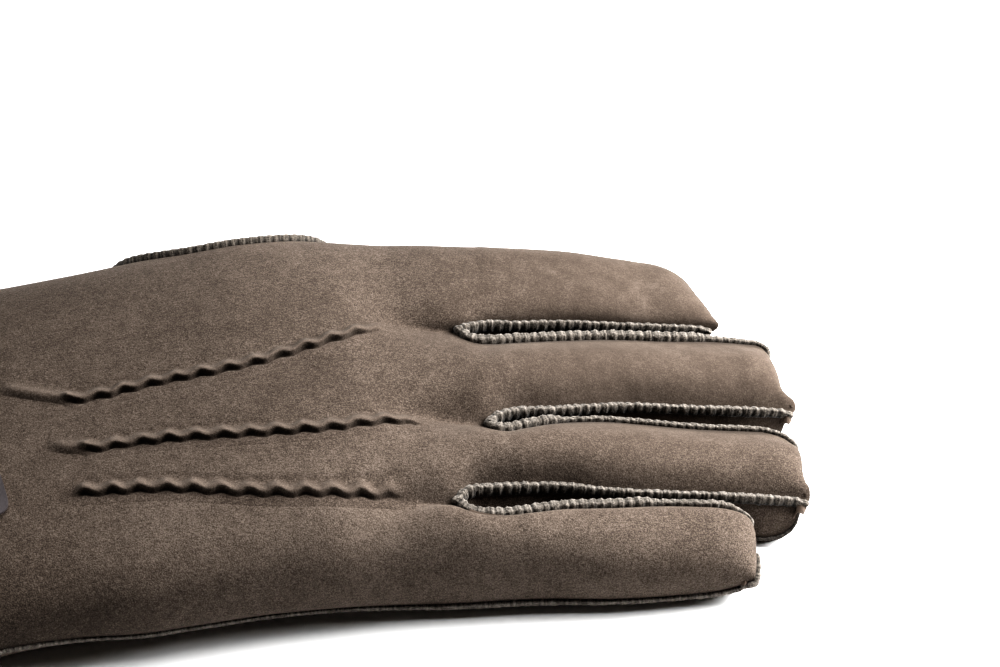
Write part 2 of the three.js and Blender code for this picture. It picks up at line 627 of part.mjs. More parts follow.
// The seam down the little finger's side, from the cuff to the tip
function sideSeam() {
  const points = [];
  for (const x of outerPlaces) {
    const turn = nearAngle(x, outerSeam.height);
    const inset = 1 - Math.abs(Math.cos(turn * radians)) ** (2 / backPower);
    const along = clamp01((x - tipStart(0)) / (tipX(0, 0) - tipStart(0)));
    const lift = (tipHeight(0, 0) - outerSeam.height) * (1 - Math.sqrt(1 - along ** 2));
    points.push([x, section(x).near + nearReach(x) * inset - outerSeam.out, outerSeam.height + lift]);
  }
  return points;
}
addPiece("seam_outer", rope(sideSeam()), overcast);

// The thumb, from its seam in the hole out to its tip, and that seam
function thumb() {
  const sheet = new Sheet();
  const angles = ringAngles(thumbSides);
  const ring = (row, i) => {
    const a = angles[i % thumbSides];
    const collar = thumbCollar.height - thumbCollar.lean * Math.sin(a);
    if (row < 2) return sheet.point(`${row} ${i % thumbSides}`, holePoint(a, -seamStep, row ? collar : 0));
    const { x, y, z, turn, half, rise } = thumbRings[row - 2];
    const reach = half * Math.cos(a);
    const [along, aside] = [Math.cos(turn * radians), Math.sin(turn * radians)];
    const height = Math.max(0, z + rise * Math.sin(a));
    return sheet.point(`${row} ${i % thumbSides}`, [x + reach * along, y - reach * aside, height]);
  };
  const last = thumbRings.length + 1;
  for (let row = 0; row < last; row++)
    for (let i = 0; i < thumbSides; i++) {
      const [near, far] = [ring(row, i), ring(row + 1, i)];
      sheet.quad(near, far, ring(row + 1, i + 1), ring(row, i + 1));
    }
  const tip = sheet.point("tip", [thumbTip.x, thumbTip.y, thumbTip.z]);
  for (let i = 0; i < thumbSides; i++) sheet.quad(ring(last, i), tip, tip, ring(last, i + 1));
  return sheet.wall(skin);
}
addPiece("thumb", thumb(), suede);
const thumbRoute = ringAngles(thumbSeam.steps).map((a) => holePoint(a, 0, thumbSeam.lift));
addPiece("seam_thumb", rope(thumbRoute, true), overcast);

// Height of the back at any place of the hand
function backHeight(x, y) {
  const strip = slots.findIndex((_, k) => y < slotMid(k, x));
  const f = strip < 0 ? 3 : strip;
  let [low, high] = [0, 1];
  while (high - low > 1e-6) {
    const s = (low + high) / 2;
    if (backPoint(f, s, x)[0] < y) low = s;
    else high = s;
  }
  return backPoint(f, low, x)[1];
}

// A raised tuck: a low rounded bar that follows the back
function tuckBar({ from, to, y: across }) {
  const route = across.map((y, i) => ({ x: tuckPlaces[i], y }));
  const sheet = [];
  const { width, height, steps, lift, endShare, endPower } = tuckSize;
  for (let i = 0; i <= steps; i++) {
    const t = i / steps;
    const x = lerp(from, to, t);
    const swell = lerp(endShare, 1, Math.abs(Math.sin(Math.PI * t)) ** endPower);
    for (const [side, up] of tuckProfile) {
      const y = column(route, "y", x) + side * width * swell;
      sheet.push([x, y, backHeight(x, y) + lift + up * height * swell]);
    }
  }
  const faces = [];
  const n = tuckProfile.length;
  for (let i = 0; i < steps; i++)
    for (let j = 0; j < n; j++) {
      const [a, b] = [i * n + j, i * n + ((j + 1) % n)];
      faces.push([a, a + n, b + n], [a, b + n, b]);
    }
  for (let j = 1; j + 1 < n; j++) faces.push([0, j, j + 1], [steps * n, steps * n + j + 1, steps * n + j]);
  return geometryOf(sheet, faces);
}
tucks.forEach((tuck) => addPiece(tuck.name, tuckBar(tuck), suede));

// The tab at the wrist: a flat hide patch laid on the back, with clipped corners
function tabPatch() {
  const { x, y, length, width, thick, lift, turn } = wristTab;
  const sheet = new Sheet();
  const { cells, corner } = tabGrid;
  const place = (i, j) => {
    const u = (i / cells - 0.5) * length;
    const v = (j / cells - 0.5) * width;
    const clip = i % cells === 0 && j % cells === 0 ? corner : 1;
    const px = x + clip * (u * Math.cos(turn * radians) - v * Math.sin(turn * radians));
    const py = y + clip * (u * Math.sin(turn * radians) + v * Math.cos(turn * radians));
    return sheet.point(`${i} ${j}`, [px, py, backHeight(px, py) + lift + thick]);
  };
  for (let i = 0; i < cells; i++)
    for (let j = 0; j < cells; j++) {
      const [near, far] = [place(i, j), place(i, j + 1)];
      sheet.quad(near, place(i + 1, j), place(i + 1, j + 1), far);
    }
  return sheet.wall(thick);
}
addPiece("wrist_tab", tabPatch(), darkHide);

// Brings the origin to the middle of the underside.
const box = new THREE.Box3().setFromObject(glove);
const centre = box.getCenter(new THREE.Vector3());
glove.position.set(-centre.x, -centre.y, -box.min.z);
export default glove;
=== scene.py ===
import math

import bmesh
import bpy
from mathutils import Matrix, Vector, noise
from mathutils.bvhtree import BVHTree
from mathutils.kdtree import KDTree


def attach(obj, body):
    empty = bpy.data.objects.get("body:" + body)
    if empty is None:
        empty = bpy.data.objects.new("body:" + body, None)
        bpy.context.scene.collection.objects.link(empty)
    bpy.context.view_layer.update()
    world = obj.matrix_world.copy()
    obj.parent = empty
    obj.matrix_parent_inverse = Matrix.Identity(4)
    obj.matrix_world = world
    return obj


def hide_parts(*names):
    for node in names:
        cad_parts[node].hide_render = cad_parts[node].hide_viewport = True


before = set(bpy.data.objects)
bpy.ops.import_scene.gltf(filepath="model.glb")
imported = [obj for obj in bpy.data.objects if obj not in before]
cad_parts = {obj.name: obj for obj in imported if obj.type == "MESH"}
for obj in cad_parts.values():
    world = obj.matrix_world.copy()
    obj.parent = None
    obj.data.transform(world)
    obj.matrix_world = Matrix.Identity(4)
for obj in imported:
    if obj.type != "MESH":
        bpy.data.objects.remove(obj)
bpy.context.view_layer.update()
print("frame loaded:", len(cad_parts), "nodes")

# Places are worked out in millimetres from the crotch between the ring and middle fingers, +X to the
# fingertips and +Y to the thumb. toScene moves them into the frame's metres.
gloveOrigin = {"x": 41.52, "y": -15.02}


def toScene(p):
    return Vector(((p[0] + gloveOrigin["x"]) / 1000, (p[1] + gloveOrigin["y"]) / 1000, p[2] / 1000))


def millimetres(vert):  # and back, for x and y
    return vert.co.x * 1000 - gloveOrigin["x"], vert.co.y * 1000 - gloveOrigin["y"]


def lerp(a, b, t):
    return a + (b - a) * t


def clamp(t, low=0.0, high=1.0):
    return max(low, min(high, t))


def smooth(t):
    t = clamp(t)
    return t * t * (3 - 2 * t)


def ramp(value, start, length):  # 0 at start and 1 at the end of a length, which may be negative
    return smooth((value - start) / length)


def signedPower(value, power):
    return math.copysign(abs(value) ** power, value)


def bell(away, width):
    return math.exp(-((away / width) ** 2))


def wobble(x, y=0.0, z=0.0, size=10.0):  # soft noise from -1 to 1, with lumps of about that size in mm
    return noise.noise(Vector((x / size, y / size, z / size)))


class Table:  # rows of named columns, read at any value of the first one on a cubic through the rows
    def __init__(self, names, rows):
        self.x = [row[0] for row in rows]
        self.columns = {name: [row[i] for row in rows] for i, name in enumerate(names.split())}
        self.known = {}

    def at(self, name, x):
        if (name, x) not in self.known:
            self.known[name, x] = self.read(self.columns[name], x)
        return self.known[name, x]

    def read(self, values, x):
        last = len(values) - 1
        if x <= self.x[0]:
            return values[0]
        if x >= self.x[last]:
            return values[last]
        i = max(j for j in range(last) if self.x[j] <= x)
        span = self.x[i + 1] - self.x[i]
        t = (x - self.x[i]) / span

        def slope(a, b):
            return (values[b] - values[a]) / (self.x[b] - self.x[a]) * span

        start = slope(max(i - 1, 0), i + 1)
        end = slope(i, min(i + 2, last))
        rise = values[i + 1] - values[i]
        return values[i] + t * (start + t * (3 * rise - 2 * start - end + t * (start + end - 2 * rise)))


# The hand from above with its two outer fingers: the height of the back and how much it leans, the
# height at which each side is widest, and the exponent of the flank under the thumb side.
hand = Table("x near far top tilt midNear midFar farPower", [
    (-165, -67, 67, 27, 1.5, 12, 15, 2),
    (-150, -65, 67, 28, 1.5, 12, 15, 2),
    (-137, -61, 67.2, 29, 1.8, 11.5, 15.6, 2),
    (-127, -53, 67.4, 29.8, 1.8, 11, 16, 2),
    (-118, -50.8, 67.8, 30.6, 2, 11, 16.6, 1.8),
    (-104, -49.5, 68.6, 31.8, 2.4, 11, 17.6, 1.5),
    (-90, -49.6, 69.6, 33.2, 2.8, 11, 18.8, 1.2),
    (-78, -48.3, 70.5, 34.5, 3, 10.5, 19.8, 1),
    (-60, -46.7, 71.5, 36, 3.5, 10, 20.5, 0.9),
    (-38, -46.5, 69, 35.5, 3.5, 9.5, 20.5, 0.9),
    (-17, -46.6, 65.5, 33, 2.5, 9.5, 20, 0.9),
    (5, -47.6, 63.5, 30, 2, 9, 16.5, 1.3),
    (26, -50.1, 61.5, 28, 2, 8.5, 14, 2),
    (44, -50.7, 59, 24.5, 2, 8, 12.5, 2),
    (60, -50.4, 59, 24.5, 2, 8, 12.5, 2),
])

# Slots between the fingers, nearest first: the middle of the slot, the distance between its two seams
# and their height. The first row is the back's crotch.
slots = [
    Table("x mid width z", [
        (-12, -30, 0, 22.5), (-9, -29.7, 6.6, 22), (-3, -29.7, 8.7, 21.2), (5, -29, 8.2, 20.1),
        (14, -28.1, 6.9, 18.8), (26, -28.8, 4.8, 17.3), (40, -29.4, 3.1, 15.9), (56, -30.4, 3, 14),
        (77, -31.6, 2.7, 10.6),
    ]),
    Table("x mid width z", [
        (-1, -4.5, 0, 22.9), (2, -4.1, 4.6, 22.6), (8, -2.5, 5, 21.8), (16, -1.3, 3.5, 20.6),
        (28, -0.3, 4, 19), (36, 0, 5.2, 17.6), (54, -2.1, 6.5, 15.8), (71, -3.1, 6.6, 13.8),
        (80, -3.5, 6.6, 12.4),
    ]),
    Table("x mid width z", [
        (-5, 28, 0, 26.3), (-2, 27.4, 4.5, 25.6), (3, 27.7, 6.4, 24.8), (10, 28.2, 5.8, 23.7),
        (24, 28.9, 5.3, 22), (36, 29, 4.4, 20.4), (50, 28.4, 4.2, 18.6), (62, 28.1, 3.8, 17),
        (77, 27.4, 3.7, 14.4),
    ]),
]
slotNames = ["little_ring", "ring_middle", "middle_index"]
palmCrotches = [-6, 4, 0]

# Fingers from the little one to the index: the outline of the tip from its near corner to its far one,
# the shares of it between which its seam lies hidden, the size of that seam where it shows, and the height
# of the back at crownPlaces.
crownPlaces = [-14, 5, 30, 48, 66]
fingers = [
    {
        "tip": [(0, 57.2), (0.06, 58.4), (0.13, 59.2), (0.25, 60.1), (0.4, 61.1), (0.52, 61.6), (0.7, 60.4),
                (0.85, 57.6), (0.93, 55.6), (1, 53)],
        "shows": 0.4, "under": 0.68, "rope": 0.9, "crown": [26.6, 23.4, 20.3, 18.3],
    },
    {
        "tip": [(0, 77.8), (0.05, 78.3), (0.12, 78.2), (0.2, 77.6), (0.35, 77.7), (0.5, 78.2), (0.64, 78.1),
                (0.75, 77.5), (0.86, 75.9), (0.93, 73.8), (1, 70)],
        "shows": 0, "under": 0.8, "rope": 0.6, "crown": [30.4, 29, 24.6, 21.6, 19],
    },
    {
        "tip": [(0, 80.6), (0.04, 81.4), (0.09, 81.2), (0.14, 80.1), (0.2, 79), (0.28, 78.6), (0.4, 78.7),
                (0.5, 78.6), (0.6, 78.3), (0.71, 77.9), (0.86, 77.8), (0.94, 77.1), (1, 75.4)],
        "shows": 0, "under": 0.9, "rope": 0.55, "crown": [32.4, 30.6, 26.4, 23.6, 21],
    },
    {
        "tip": [(0, 64.6), (0.05, 66), (0.11, 66.5), (0.18, 66.3), (0.26, 65.6), (0.33, 65.2), (0.45, 63.6),
                (0.6, 59.9), (0.75, 54.6), (0.9, 45.6), (1, 39)],
        "shows": 0, "under": 1.05, "rope": 0.6, "crown": [33.5, 31.4, 28.5, 24.5],
    },
]
tips = [Table("s x", finger["tip"]) for finger in fingers]
crowns = [Table("x z", list(zip(crownPlaces, finger["crown"]))) for finger in fingers]

form = {
    "backPower": 2.8,  # superellipse exponents of the hand's section, far side and near side
    "nearBackPower": 3.3,
    "nearPower": 2,
    "crownPower": 2.6,  # how boxy a finger's back is between its two seams
    "nearCrownPower": 3,
    "littlePower": 2.15,  # the little finger slopes down evenly from a crown close to its slot
    "littleCrown": 0.76,  # share of its width from the outer side to that crown
    "slotSlope": 0.75,  # how far a back slopes straight down to the near seam of a slot
    "palmTipPower": 3.2,
    "palmSink": 5,  # how far the palm would come below the table if it weren't pressed flat
    "knuckles": 34,  # stretch behind a crotch in which the hand turns into fingers
    "tipRound": 7,  # stretch behind a tip's shorter corner in which it rounds over
    "tipReach": 13,  # most of that stretch further along the tip
    "tipLayers": 1.16,  # from the edge of the back down to that of the palm, under a tip's seam
    "tipTuck": 1.7,  # how far a fingertip's seam lies under its bulge
    "tipUnder": 0.35,  # how much further the bulge turns to come down to it
    "tipWaist": 1.9,  # how far above its seam a fingertip is widest
    "palmTuck": [1.4, 3.2, 2.6, 2],  # how far its palm stays behind it at the near corner
    "stripTuck": 1.4,
    "edge": 0.5,  # from the middle of a seam to the edge of the suede under it
    "slitLead": 0.9,  # how far behind its crotch a slit opens, hidden under the seam
}
palmSlot = {
    "width": 2.7,
    "ropeHeight": 1.9,
    "opens": (-22, 20),  # where, from the tips' corners, it opens as wide as on the back
    "splay": -3.6,  # how far the ring finger's palm comes out beyond the little finger's tip
    "splays": (58, 8),
}
tipFade = {"under": 0.2, "shows": 0.12, "corner": 0.06}  # shares over which a tip's seam comes into view


def section(x):
    near = hand.at("near", x)
    far = hand.at("far", x)
    return near, far, (near + far) / 2, (far - near) / 2


def handAtAngle(x, degrees):  # 0 is the far side, 90 the top, 180 the near side
    near, far, mid, half = section(x)
    backPower = form["nearBackPower" if degrees > 90 else "backPower"]
    sin = math.sin(math.radians(degrees))
    across = signedPower(math.cos(math.radians(degrees)), 2 / backPower)
    level = lerp(hand.at("midNear", x), hand.at("midFar", x), (across + 1) / 2)
    top = hand.at("top", x) + hand.at("tilt", x) * across
    power = hand.at("farPower", x) if across > 0 else form["nearPower"]
    if sin >= 0:
        return mid + half * across, level + (top - level) * abs(sin) ** (2 / backPower)
    return mid + half * across, max(0, level - (level + form["palmSink"]) * abs(sin) ** (2 / power))


def angleAt(x, y):
    near, far, mid, half = section(x)
    across = clamp((y - mid) / half, -1, 1)
    backPower = form["nearBackPower" if across < 0 else "backPower"]
    return math.degrees(math.acos(signedPower(across, backPower / 2)))


def crotch(k):
    return slots[k].x[0]


def slotMid(k, x):
    if x >= crotch(k):
        return slots[k].at("mid", x)
    near, far, mid, half = section(crotch(k))
    share = (slots[k].at("mid", crotch(k)) - mid) / half
    near, far, mid, half = section(x)
    return mid + half * share


def slotWidth(k, x):
    return 0 if x <= crotch(k) else slots[k].at("width", x)


def fingerShare(k, x):
    return smooth((x - crotch(k) + form["knuckles"]) / form["knuckles"])


def edgeAt(k, x, side, start, width):  # edge of the suede beside a slot, square to the seam
    if x <= start + 0.01:
        return slotMid(k, x)
    slope = (width(k, x + 0.5) - width(k, x - 0.5)) / 2
    return slotMid(k, x) + side * (width(k, x) / 2 + form["edge"] * math.hypot(1, slope))


def backEdge(k, x, side):
    return edgeAt(k, x, side, crotch(k) - form["slitLead"], slotWidth)


def tipCorner(f, far):
    return tipX(f, 1 if far else 0)


def palmWidth(k, x):
    past = x - min(tipCorner(k, True), tipCorner(k + 1, False))
    return lerp(palmSlot["width"], slotWidth(k, x), ramp(past, *palmSlot["opens"]))


def palmArc(f, s, x):  # 1 along a finger, falling to 0 at the corner of its tip
    along = clamp((x - tipStart(f)) / (tipX(f, s) - palmTuck(f, s) - tipStart(f)))
    return (1 - along ** form["palmTipPower"]) ** (1 / form["palmTipPower"])


def palmSplay(k, side, x):
    if k or side < 0:
        return 0
    return palmSlot["splay"] * ramp(x, *palmSlot["splays"]) * palmArc(1, 0, x)


def palmEdge(k, x, side):
    return edgeAt(k, x, side, palmCrotches[k] - form["slitLead"], palmWidth) + palmSplay(k, side, x)


def nearInset(turn):  # share of the near half by which the section has turned in at that angle
    return 1 - abs(math.cos(math.radians(turn))) ** (2 / form["nearBackPower"])


def nearReach(x):
    near, far, mid, half = section(x)
    return lerp(half, (backEdge(0, x, -1) - near) * form["littleCrown"], fingerShare(0, x))


def farReach(x):
    near, far, mid, half = section(x)
    return lerp(half, (far - backEdge(2, x, 1)) / 2, fingerShare(2, x))


def nearAngle(x, z):  # beyond 180, where the near side has come down to height z
    level = hand.at("midNear", x)
    drop = (level - z) / (level + form["palmSink"])
    return 180 + math.degrees(math.asin(drop ** (form["nearPower"] / 2)))


def flank(level, power, away, backPower):
    sin = math.sqrt(1 - clamp(1 - away) ** backPower)
    return level - (level + form["palmSink"]) * sin ** (2 / power)


def palmHeight(x, y):  # pressed flat on the table between its two flanks
    near, far, mid, half = section(x)
    away = (y - near) / nearReach(x)
    nearFlank = flank(hand.at("midNear", x), form["nearPower"], away, form["nearBackPower"])
    away = (far - y) / farReach(x)
    farFlank = flank(hand.at("midFar", x), hand.at("farPower", x), away, form["backPower"])
    return max(0, nearFlank, farFlank)


# The seam down the little finger's side: its height above the table and the size of its lobes.
outerSeam = {"halfGap": 0.25, "out": 0.1, "end": 60, "tipClimb": 2.6, "tilt": 84, "lean": -0.4}
outerHeights = Table("x z size", [
    (-165, 10.5, 0.5), (-127, 10, 0.5), (-108, 8.7, 0.5), (-99, 7.8, 0.5), (-90, 7, 0.52), (-80, 6.2, 0.55),
    (-68, 5.4, 0.58), (-56, 4.9, 0.55), (-44, 4.4, 0.58), (-20, 3.4, 0.66), (5, 3.2, 0.72), (26, 2.9, 0.66),
    (44, 2.7, 0.6), (60, 2.6, 0.72),
])


def seamHeight(x):
    return outerHeights.at("z", x)


def slopeTo(across):  # how far a finger's back has come down towards the near seam of a slot
    return form["slotSlope"] * across ** 2 + (1 - form["slotSlope"]) * smooth(across)


def innerBack(f, s, x):
    y = lerp(backEdge(f - 1, x, 1), backEdge(f, x, -1), s)
    base = lerp(slots[f - 1].at("z", x), slots[f].at("z", x), s)
    across = abs(2 * s - 1)
    fall = across ** form["nearCrownPower"] if s < 0.5 else slopeTo(across)
    onFinger = base + (crowns[f].at("z", x) - base) * (1 - fall)
    onHand = handAtAngle(x, angleAt(x, y))[1]
    return y, lerp(onHand, onFinger, lerp(fingerShare(f - 1, x), fingerShare(f, x), s))


def littleBack(s, x):  # from the outer seam round the near side and over the crown to the nearest slot
    near, far, mid, half = section(x)
    edge = backEdge(0, x, -1)
    start = nearAngle(x, seamHeight(x) + outerSeam["halfGap"])
    onHand = handAtAngle(x, lerp(start, angleAt(x, edge), s))
    turn = lerp(start, 0, s)
    cos = math.cos(math.radians(turn))
    sin = math.sin(math.radians(turn))
    crown = lerp(near, edge, form["littleCrown"])
    top = crowns[0].at("z", x)
    level = hand.at("midNear", x)
    if turn <= 90:
        across = cos ** (2 / form["backPower"])
        level = slots[0].at("z", x)
        y = lerp(crown, edge, across)
        z = lerp(top, level, slopeTo(across))
    elif sin >= 0:
        y = lerp(crown, near, abs(cos) ** (2 / form["littlePower"]))
        z = lerp(level, top, sin ** (2 / form["littlePower"]))
    else:
        y = lerp(crown, near, abs(cos) ** (2 / form["nearBackPower"]))
        z = lerp(level, -form["palmSink"], abs(sin) ** (2 / form["nearPower"]))
    share = fingerShare(0, x)
    return lerp(onHand[0], y, share), lerp(onHand[1], z, share)


def indexBack(s, x):  # from its slot over the crown to the fold
    near, far, mid, half = section(x)
    edge = backEdge(2, x, 1)
    onHand = handAtAngle(x, lerp(angleAt(x, edge), 0, s))
    turn = math.radians(lerp(180, 0, s))
    across = signedPower(math.cos(turn), 2 / form["backPower"])
    level = slots[2].at("z", x) if s < 0.5 else hand.at("midFar", x)
    z = lerp(level, crowns[3].at("z", x), abs(math.sin(turn)) ** (2 / form["crownPower"]))
    share = fingerShare(2, x)
    return lerp(onHand[0], lerp(edge, far, (1 + across) / 2), share), lerp(onHand[1], z, share)


def backPoint(f, s, x):  # y and z of the back at share s of finger f's strip
    if f == 0:
        return littleBack(s, x)
    return indexBack(s, x) if f == 3 else innerBack(f, s, x)


def palmPoint(f, s, x):
    near, far, mid, half = section(x)
    seamAngle = nearAngle(x, seamHeight(x) - outerSeam["halfGap"])
    low = palmEdge(f - 1, x, 1) if f > 0 else near + nearReach(x) * nearInset(seamAngle)
    high = palmEdge(f, x, -1) if f < 3 else far
    y = lerp(low, high, s)
    return y, palmHeight(x, y)


def tipX(f, s):  # outline of a fingertip
    return tips[f].at("x", s)


def tipHeight(f, s):
    outerEnd = seamHeight(outerSeam["end"]) + outerSeam["tipClimb"]
    near = slots[f - 1].at("z", tipCorner(f, False)) if f > 0 else outerEnd
    far = slots[f].at("z", tipCorner(f, True)) if f < 3 else hand.at("midFar", tipCorner(f, True))
    return lerp(near, far, s)


def tipStart(f):
    return min(tipX(f, 0), tipX(f, 1)) - form["tipRound"]


def hidden(f, s):  # 1 where a fingertip's seam lies under its bulge, 0 where it shows
    before = ramp(s, fingers[f]["under"], -tipFade["under"])
    beyond = ramp(s, fingers[f]["shows"], tipFade["shows"])
    return before * beyond * ramp(s, 1, -tipFade["corner"])


def palmTuck(f, s):
    return max(form["tipTuck"] * hidden(f, s), form["palmTuck"][f] * (1 - s))


def fingerPoint(f, s, x, turn, isPalm):  # turn is 0 up to a fingertip's start and 1 at its seam
    point = palmPoint if isPalm else backPoint
    if turn == 0:
        return (x, *point(f, s, x))
    seam = tipHeight(f, s) - (form["tipLayers"] if isPalm else 0)
    if isPalm:
        power = 2 / form["palmTipPower"]
        x = lerp(tipStart(f), tipX(f, s) - palmTuck(f, s), math.sin(math.pi / 2 * turn) ** power)
        y, z = point(f, s, x)
        return x, y, lerp(seam, z, abs(math.cos(math.pi / 2 * turn)) ** power)
    waist = seam + form["tipWaist"] * hidden(f, s)
    further = form["tipUnder"] * hidden(f, s)
    turn *= 1 + further
    if turn <= 1:
        x = lerp(tipStart(f), tipX(f, s), math.sin(math.pi / 2 * turn))
        y, z = point(f, s, x)
        reach = min(form["tipReach"], tipX(f, s) - tipStart(f))
        along = clamp(1 - (tipX(f, s) - x) / reach)
        return x, y, lerp(waist, z, math.sqrt(1 - along ** 2))
    below = (turn - 1) / further * math.pi / 2
    inward = form["tipTuck"] * hidden(f, s) * (1 - math.cos(below))
    y, z = point(f, s, tipX(f, s))
    return tipX(f, s) - inward, y, lerp(waist, seam, math.sin(below))


# Shaders are written as expressions on sockets.
class Socket:
    def __init__(self, shader, output):
        self.shader = shader
        self.output = output

    def math(self, operation, *others):
        values = [self, *others]
        return self.shader.node("ShaderNodeMath", {"operation": operation}, dict(enumerate(values)))

    def __add__(self, other):
        return self.math("ADD", other)

    def __sub__(self, other):
        return self.math("SUBTRACT", other)

    def __rsub__(self, other):
        return self.shader.node("ShaderNodeMath", {"operation": "SUBTRACT"}, {0: other, 1: self})

    def __mul__(self, other):
        return self.math("MULTIPLY", other)

    __radd__ = __add__
    __rmul__ = __mul__

    def between(self, low, high):  # 0 below low, 1 above high, smooth in between
        settings = {"interpolation_type": "SMOOTHSTEP"}
        inputs = {"Value": self, "From Min": low, "From Max": high}
        return self.shader.node("ShaderNodeMapRange", settings, inputs)


class Shader:
    def __init__(self, name, **constants):
        self.material = bpy.data.materials.new(name)
        self.material.use_nodes = True
        self.tree = self.material.node_tree
        self.surface = self.tree.nodes["Principled BSDF"]
        for key, value in constants.items():
            self.surface.inputs[key.replace("_", " ")].default_value = value
        coords = self.tree.nodes.new("ShaderNodeTexCoord")
        self.place = Socket(self, coords.outputs["Object"])

    def node(self, kind, settings=None, inputs=None, output=0):
        made = self.tree.nodes.new(kind)
        for key, value in (settings or {}).items():
            if key == "stops":
                stops = made.color_ramp.elements  # a new ramp has two
                for i, (place, colour) in enumerate(value):
                    stop = stops[i] if i < 2 else stops.new(place)
                    stop.position = place
                    stop.color = (*colour, 1)
            else:
                setattr(made, key, value)
        for key, value in (inputs or {}).items():
            if isinstance(value, Socket):
                self.tree.links.new(value.output, made.inputs[key])
            else:
                made.inputs[key].default_value = value
        return Socket(self, made.outputs[output])

    def feed(self, name, socket):
        self.tree.links.new(socket.output, self.surface.inputs[name])

    def noise(self, scale, detail=2.0, roughness=0.5, stretch=None, distortion=0.0):
        place = self.place
        if stretch:
            place = self.node("ShaderNodeMapping", None, {"Vector": place, "Scale": stretch})
        inputs = {"Vector": place, "Scale": scale, "Detail": detail, "Roughness": roughness}
        inputs["Distortion"] = distortion
        return self.node("ShaderNodeTexNoise", None, inputs)

    def axis(self, name):
        return self.node("ShaderNodeSeparateXYZ", None, {"Vector": self.place}, name)

    def mix(self, share, a, b):  # a Mix node takes its colours at sockets 6 and 7, and gives one at 2
        def colour(value):
            return value if isinstance(value, Socket) else (*value, 1)

        return self.node("ShaderNodeMix", {"data_type": "RGBA"}, {0: share, 6: colour(a), 7: colour(b)}, 2)

    def attribute(self, name):
        return self.node("ShaderNodeAttribute", {"attribute_name": name}, None, "Fac")

    def bump(self, height, distance, strength=1.0, under=None):
        inputs = {"Height": height, "Distance": distance, "Strength": strength}
        if under:
            inputs["Normal"] = under
        return self.node("ShaderNodeBump", None, inputs)


suedeLook = {
    "dark": (0.0215, 0.0158, 0.0120),
    "middle": (0.0640, 0.0488, 0.0386),
    "light": (0.150, 0.1215, 0.1010),
    # colour of the painted shade near seams and on the tucks' near faces
    "paintedShade": (0.022, 0.016, 0.012),
    "sheenTint": (0.75, 0.66, 0.58, 1),
    "stops": (0.22, 0.5, 0.80),  # tones at which it is dark, middle and light
    "noises": {  # from where the nap has been stroked another way to tufts of about 0.3 mm
        "brushed": {"scale": 38, "detail": 3, "roughness": 0.55, "distortion": 0.6},
        "mottle": {"scale": 240, "detail": 4, "roughness": 0.6},
        "fibres": {"scale": 1500, "detail": 3, "roughness": 0.75, "stretch": (0.6, 1.0, 1.0)},
        "tufts": {"scale": 2900, "detail": 2, "roughness": 0.75},
    },
    # among them, that of the broad patches of painted light and shade
    "shares": {"brushed": 0.20, "mottle": 0.26, "fibres": 0.55, "tufts": 1.25, "paintedLightShade": 0.3, "plain": 0.27},
    "finer": {"by": 0.62, "x": (0.01, 0.08), "y": (-0.06, 0.0)},  # the fingers' nap
    # how far the painted highlight pales the nap
    "highlighted": 0.45,
    # how far the painted shade darkens it
    "pressed": 0.8,
    "broadBump": {"distance": 0.0005, "strength": 0.5},
    "napBump": {"distance": 0.00028, "strength": 0.9},
    "napFibres": 0.4,
}


def suedeMaterial():
    look = suedeLook
    share = look["shares"]
    finer = look["finer"]
    shader = Shader("suede", Roughness=0.95, Sheen_Weight=0.12, Sheen_Roughness=0.5, Specular_IOR_Level=0.12)
    shader.surface.inputs["Sheen Tint"].default_value = look["sheenTint"]
    brushed, mottle, fibres, tufts = (shader.noise(**row) for row in look["noises"].values())
    depth = 1 - shader.axis("X").between(*finer["x"]) * shader.axis("Y").between(*finer["y"]) * finer["by"]
    nap = ((fibres - 0.5) * share["fibres"] + (tufts - 0.5) * share["tufts"]) * depth
    patches = brushed * share["brushed"] + mottle * share["mottle"]
    # the broad patches of painted light and shade are added to the tone here
    tone = patches + nap + shader.attribute("paintedLightShade") * share["paintedLightShade"] + share["plain"]
    low, half, high = look["stops"]
    stops = [(low, look["dark"]), (high, look["light"]), (half, look["middle"])]
    base = shader.node("ShaderNodeValToRGB", {"stops": stops}, {"Fac": tone})
    # A painted highlight on the tucks' crests and above the far seams of slots, then painted shade near seams
    # and on the tucks' near faces
    highlighted = shader.mix(shader.attribute("highlight") * look["highlighted"], base, look["light"])
    pressed = shader.mix(shader.attribute("paintedShade") * look["pressed"], highlighted, look["paintedShade"])
    shader.feed("Base Color", pressed)
    broad = shader.bump(mottle, **look["broadBump"])
    height = (fibres * look["napFibres"] + tufts * (1 - look["napFibres"])) * depth
    shader.feed("Normal", shader.bump(height, **look["napBump"], under=broad))
    return shader.material


insideLook = {
    "dark": (0.07, 0.052, 0.040),
    "light": (0.14, 0.105, 0.082),
    "grain": {"scale": 900, "detail": 4, "roughness": 0.6},
    "bump": {"distance": 0.00015, "strength": 0.5},
}


def insideMaterial():
    shader = Shader("suedeInside", Roughness=0.8, Specular_IOR_Level=0.25)
    grain = shader.noise(**insideLook["grain"])
    shader.feed("Base Color", shader.mix(grain, insideLook["dark"], insideLook["light"]))
    shader.feed("Normal", shader.bump(grain, **insideLook["bump"]))
    return shader.material


# Overcast seams: the sides of the two layers, their cut edges, the thread between the lobes, and painted
# shade in the notches, in the cleft and on the rope's lower side.
edgeLook = {
    "side": [(0.028, 0.0236, 0.0196), (0.150, 0.1300, 0.110)],
    "cut": [(0.078, 0.0685, 0.0590), (0.300, 0.2690, 0.2380)],
    "thread": (0.080, 0.0720, 0.0630),
    # near black, for the painted shade
    "ropeShade": (0.010, 0.0085, 0.0072),
    "fuzz": {"scale": 2600, "detail": 3, "roughness": 0.7},
    "patches": {"scale": 330, "detail": 3, "roughness": 0.6},
    "ribs": 1.3,  # to a millimetre along the seam
    "grains": {"side": (0.38, 0.62), "cut": (0.36, 0.66), "patches": (0.28, 0.6)},
    "shares": {"fuzz": 0.6, "ribs": 0.4, "thread": 0.4, "ropeShade": 0.92},
    "bump": 0.00026,
}


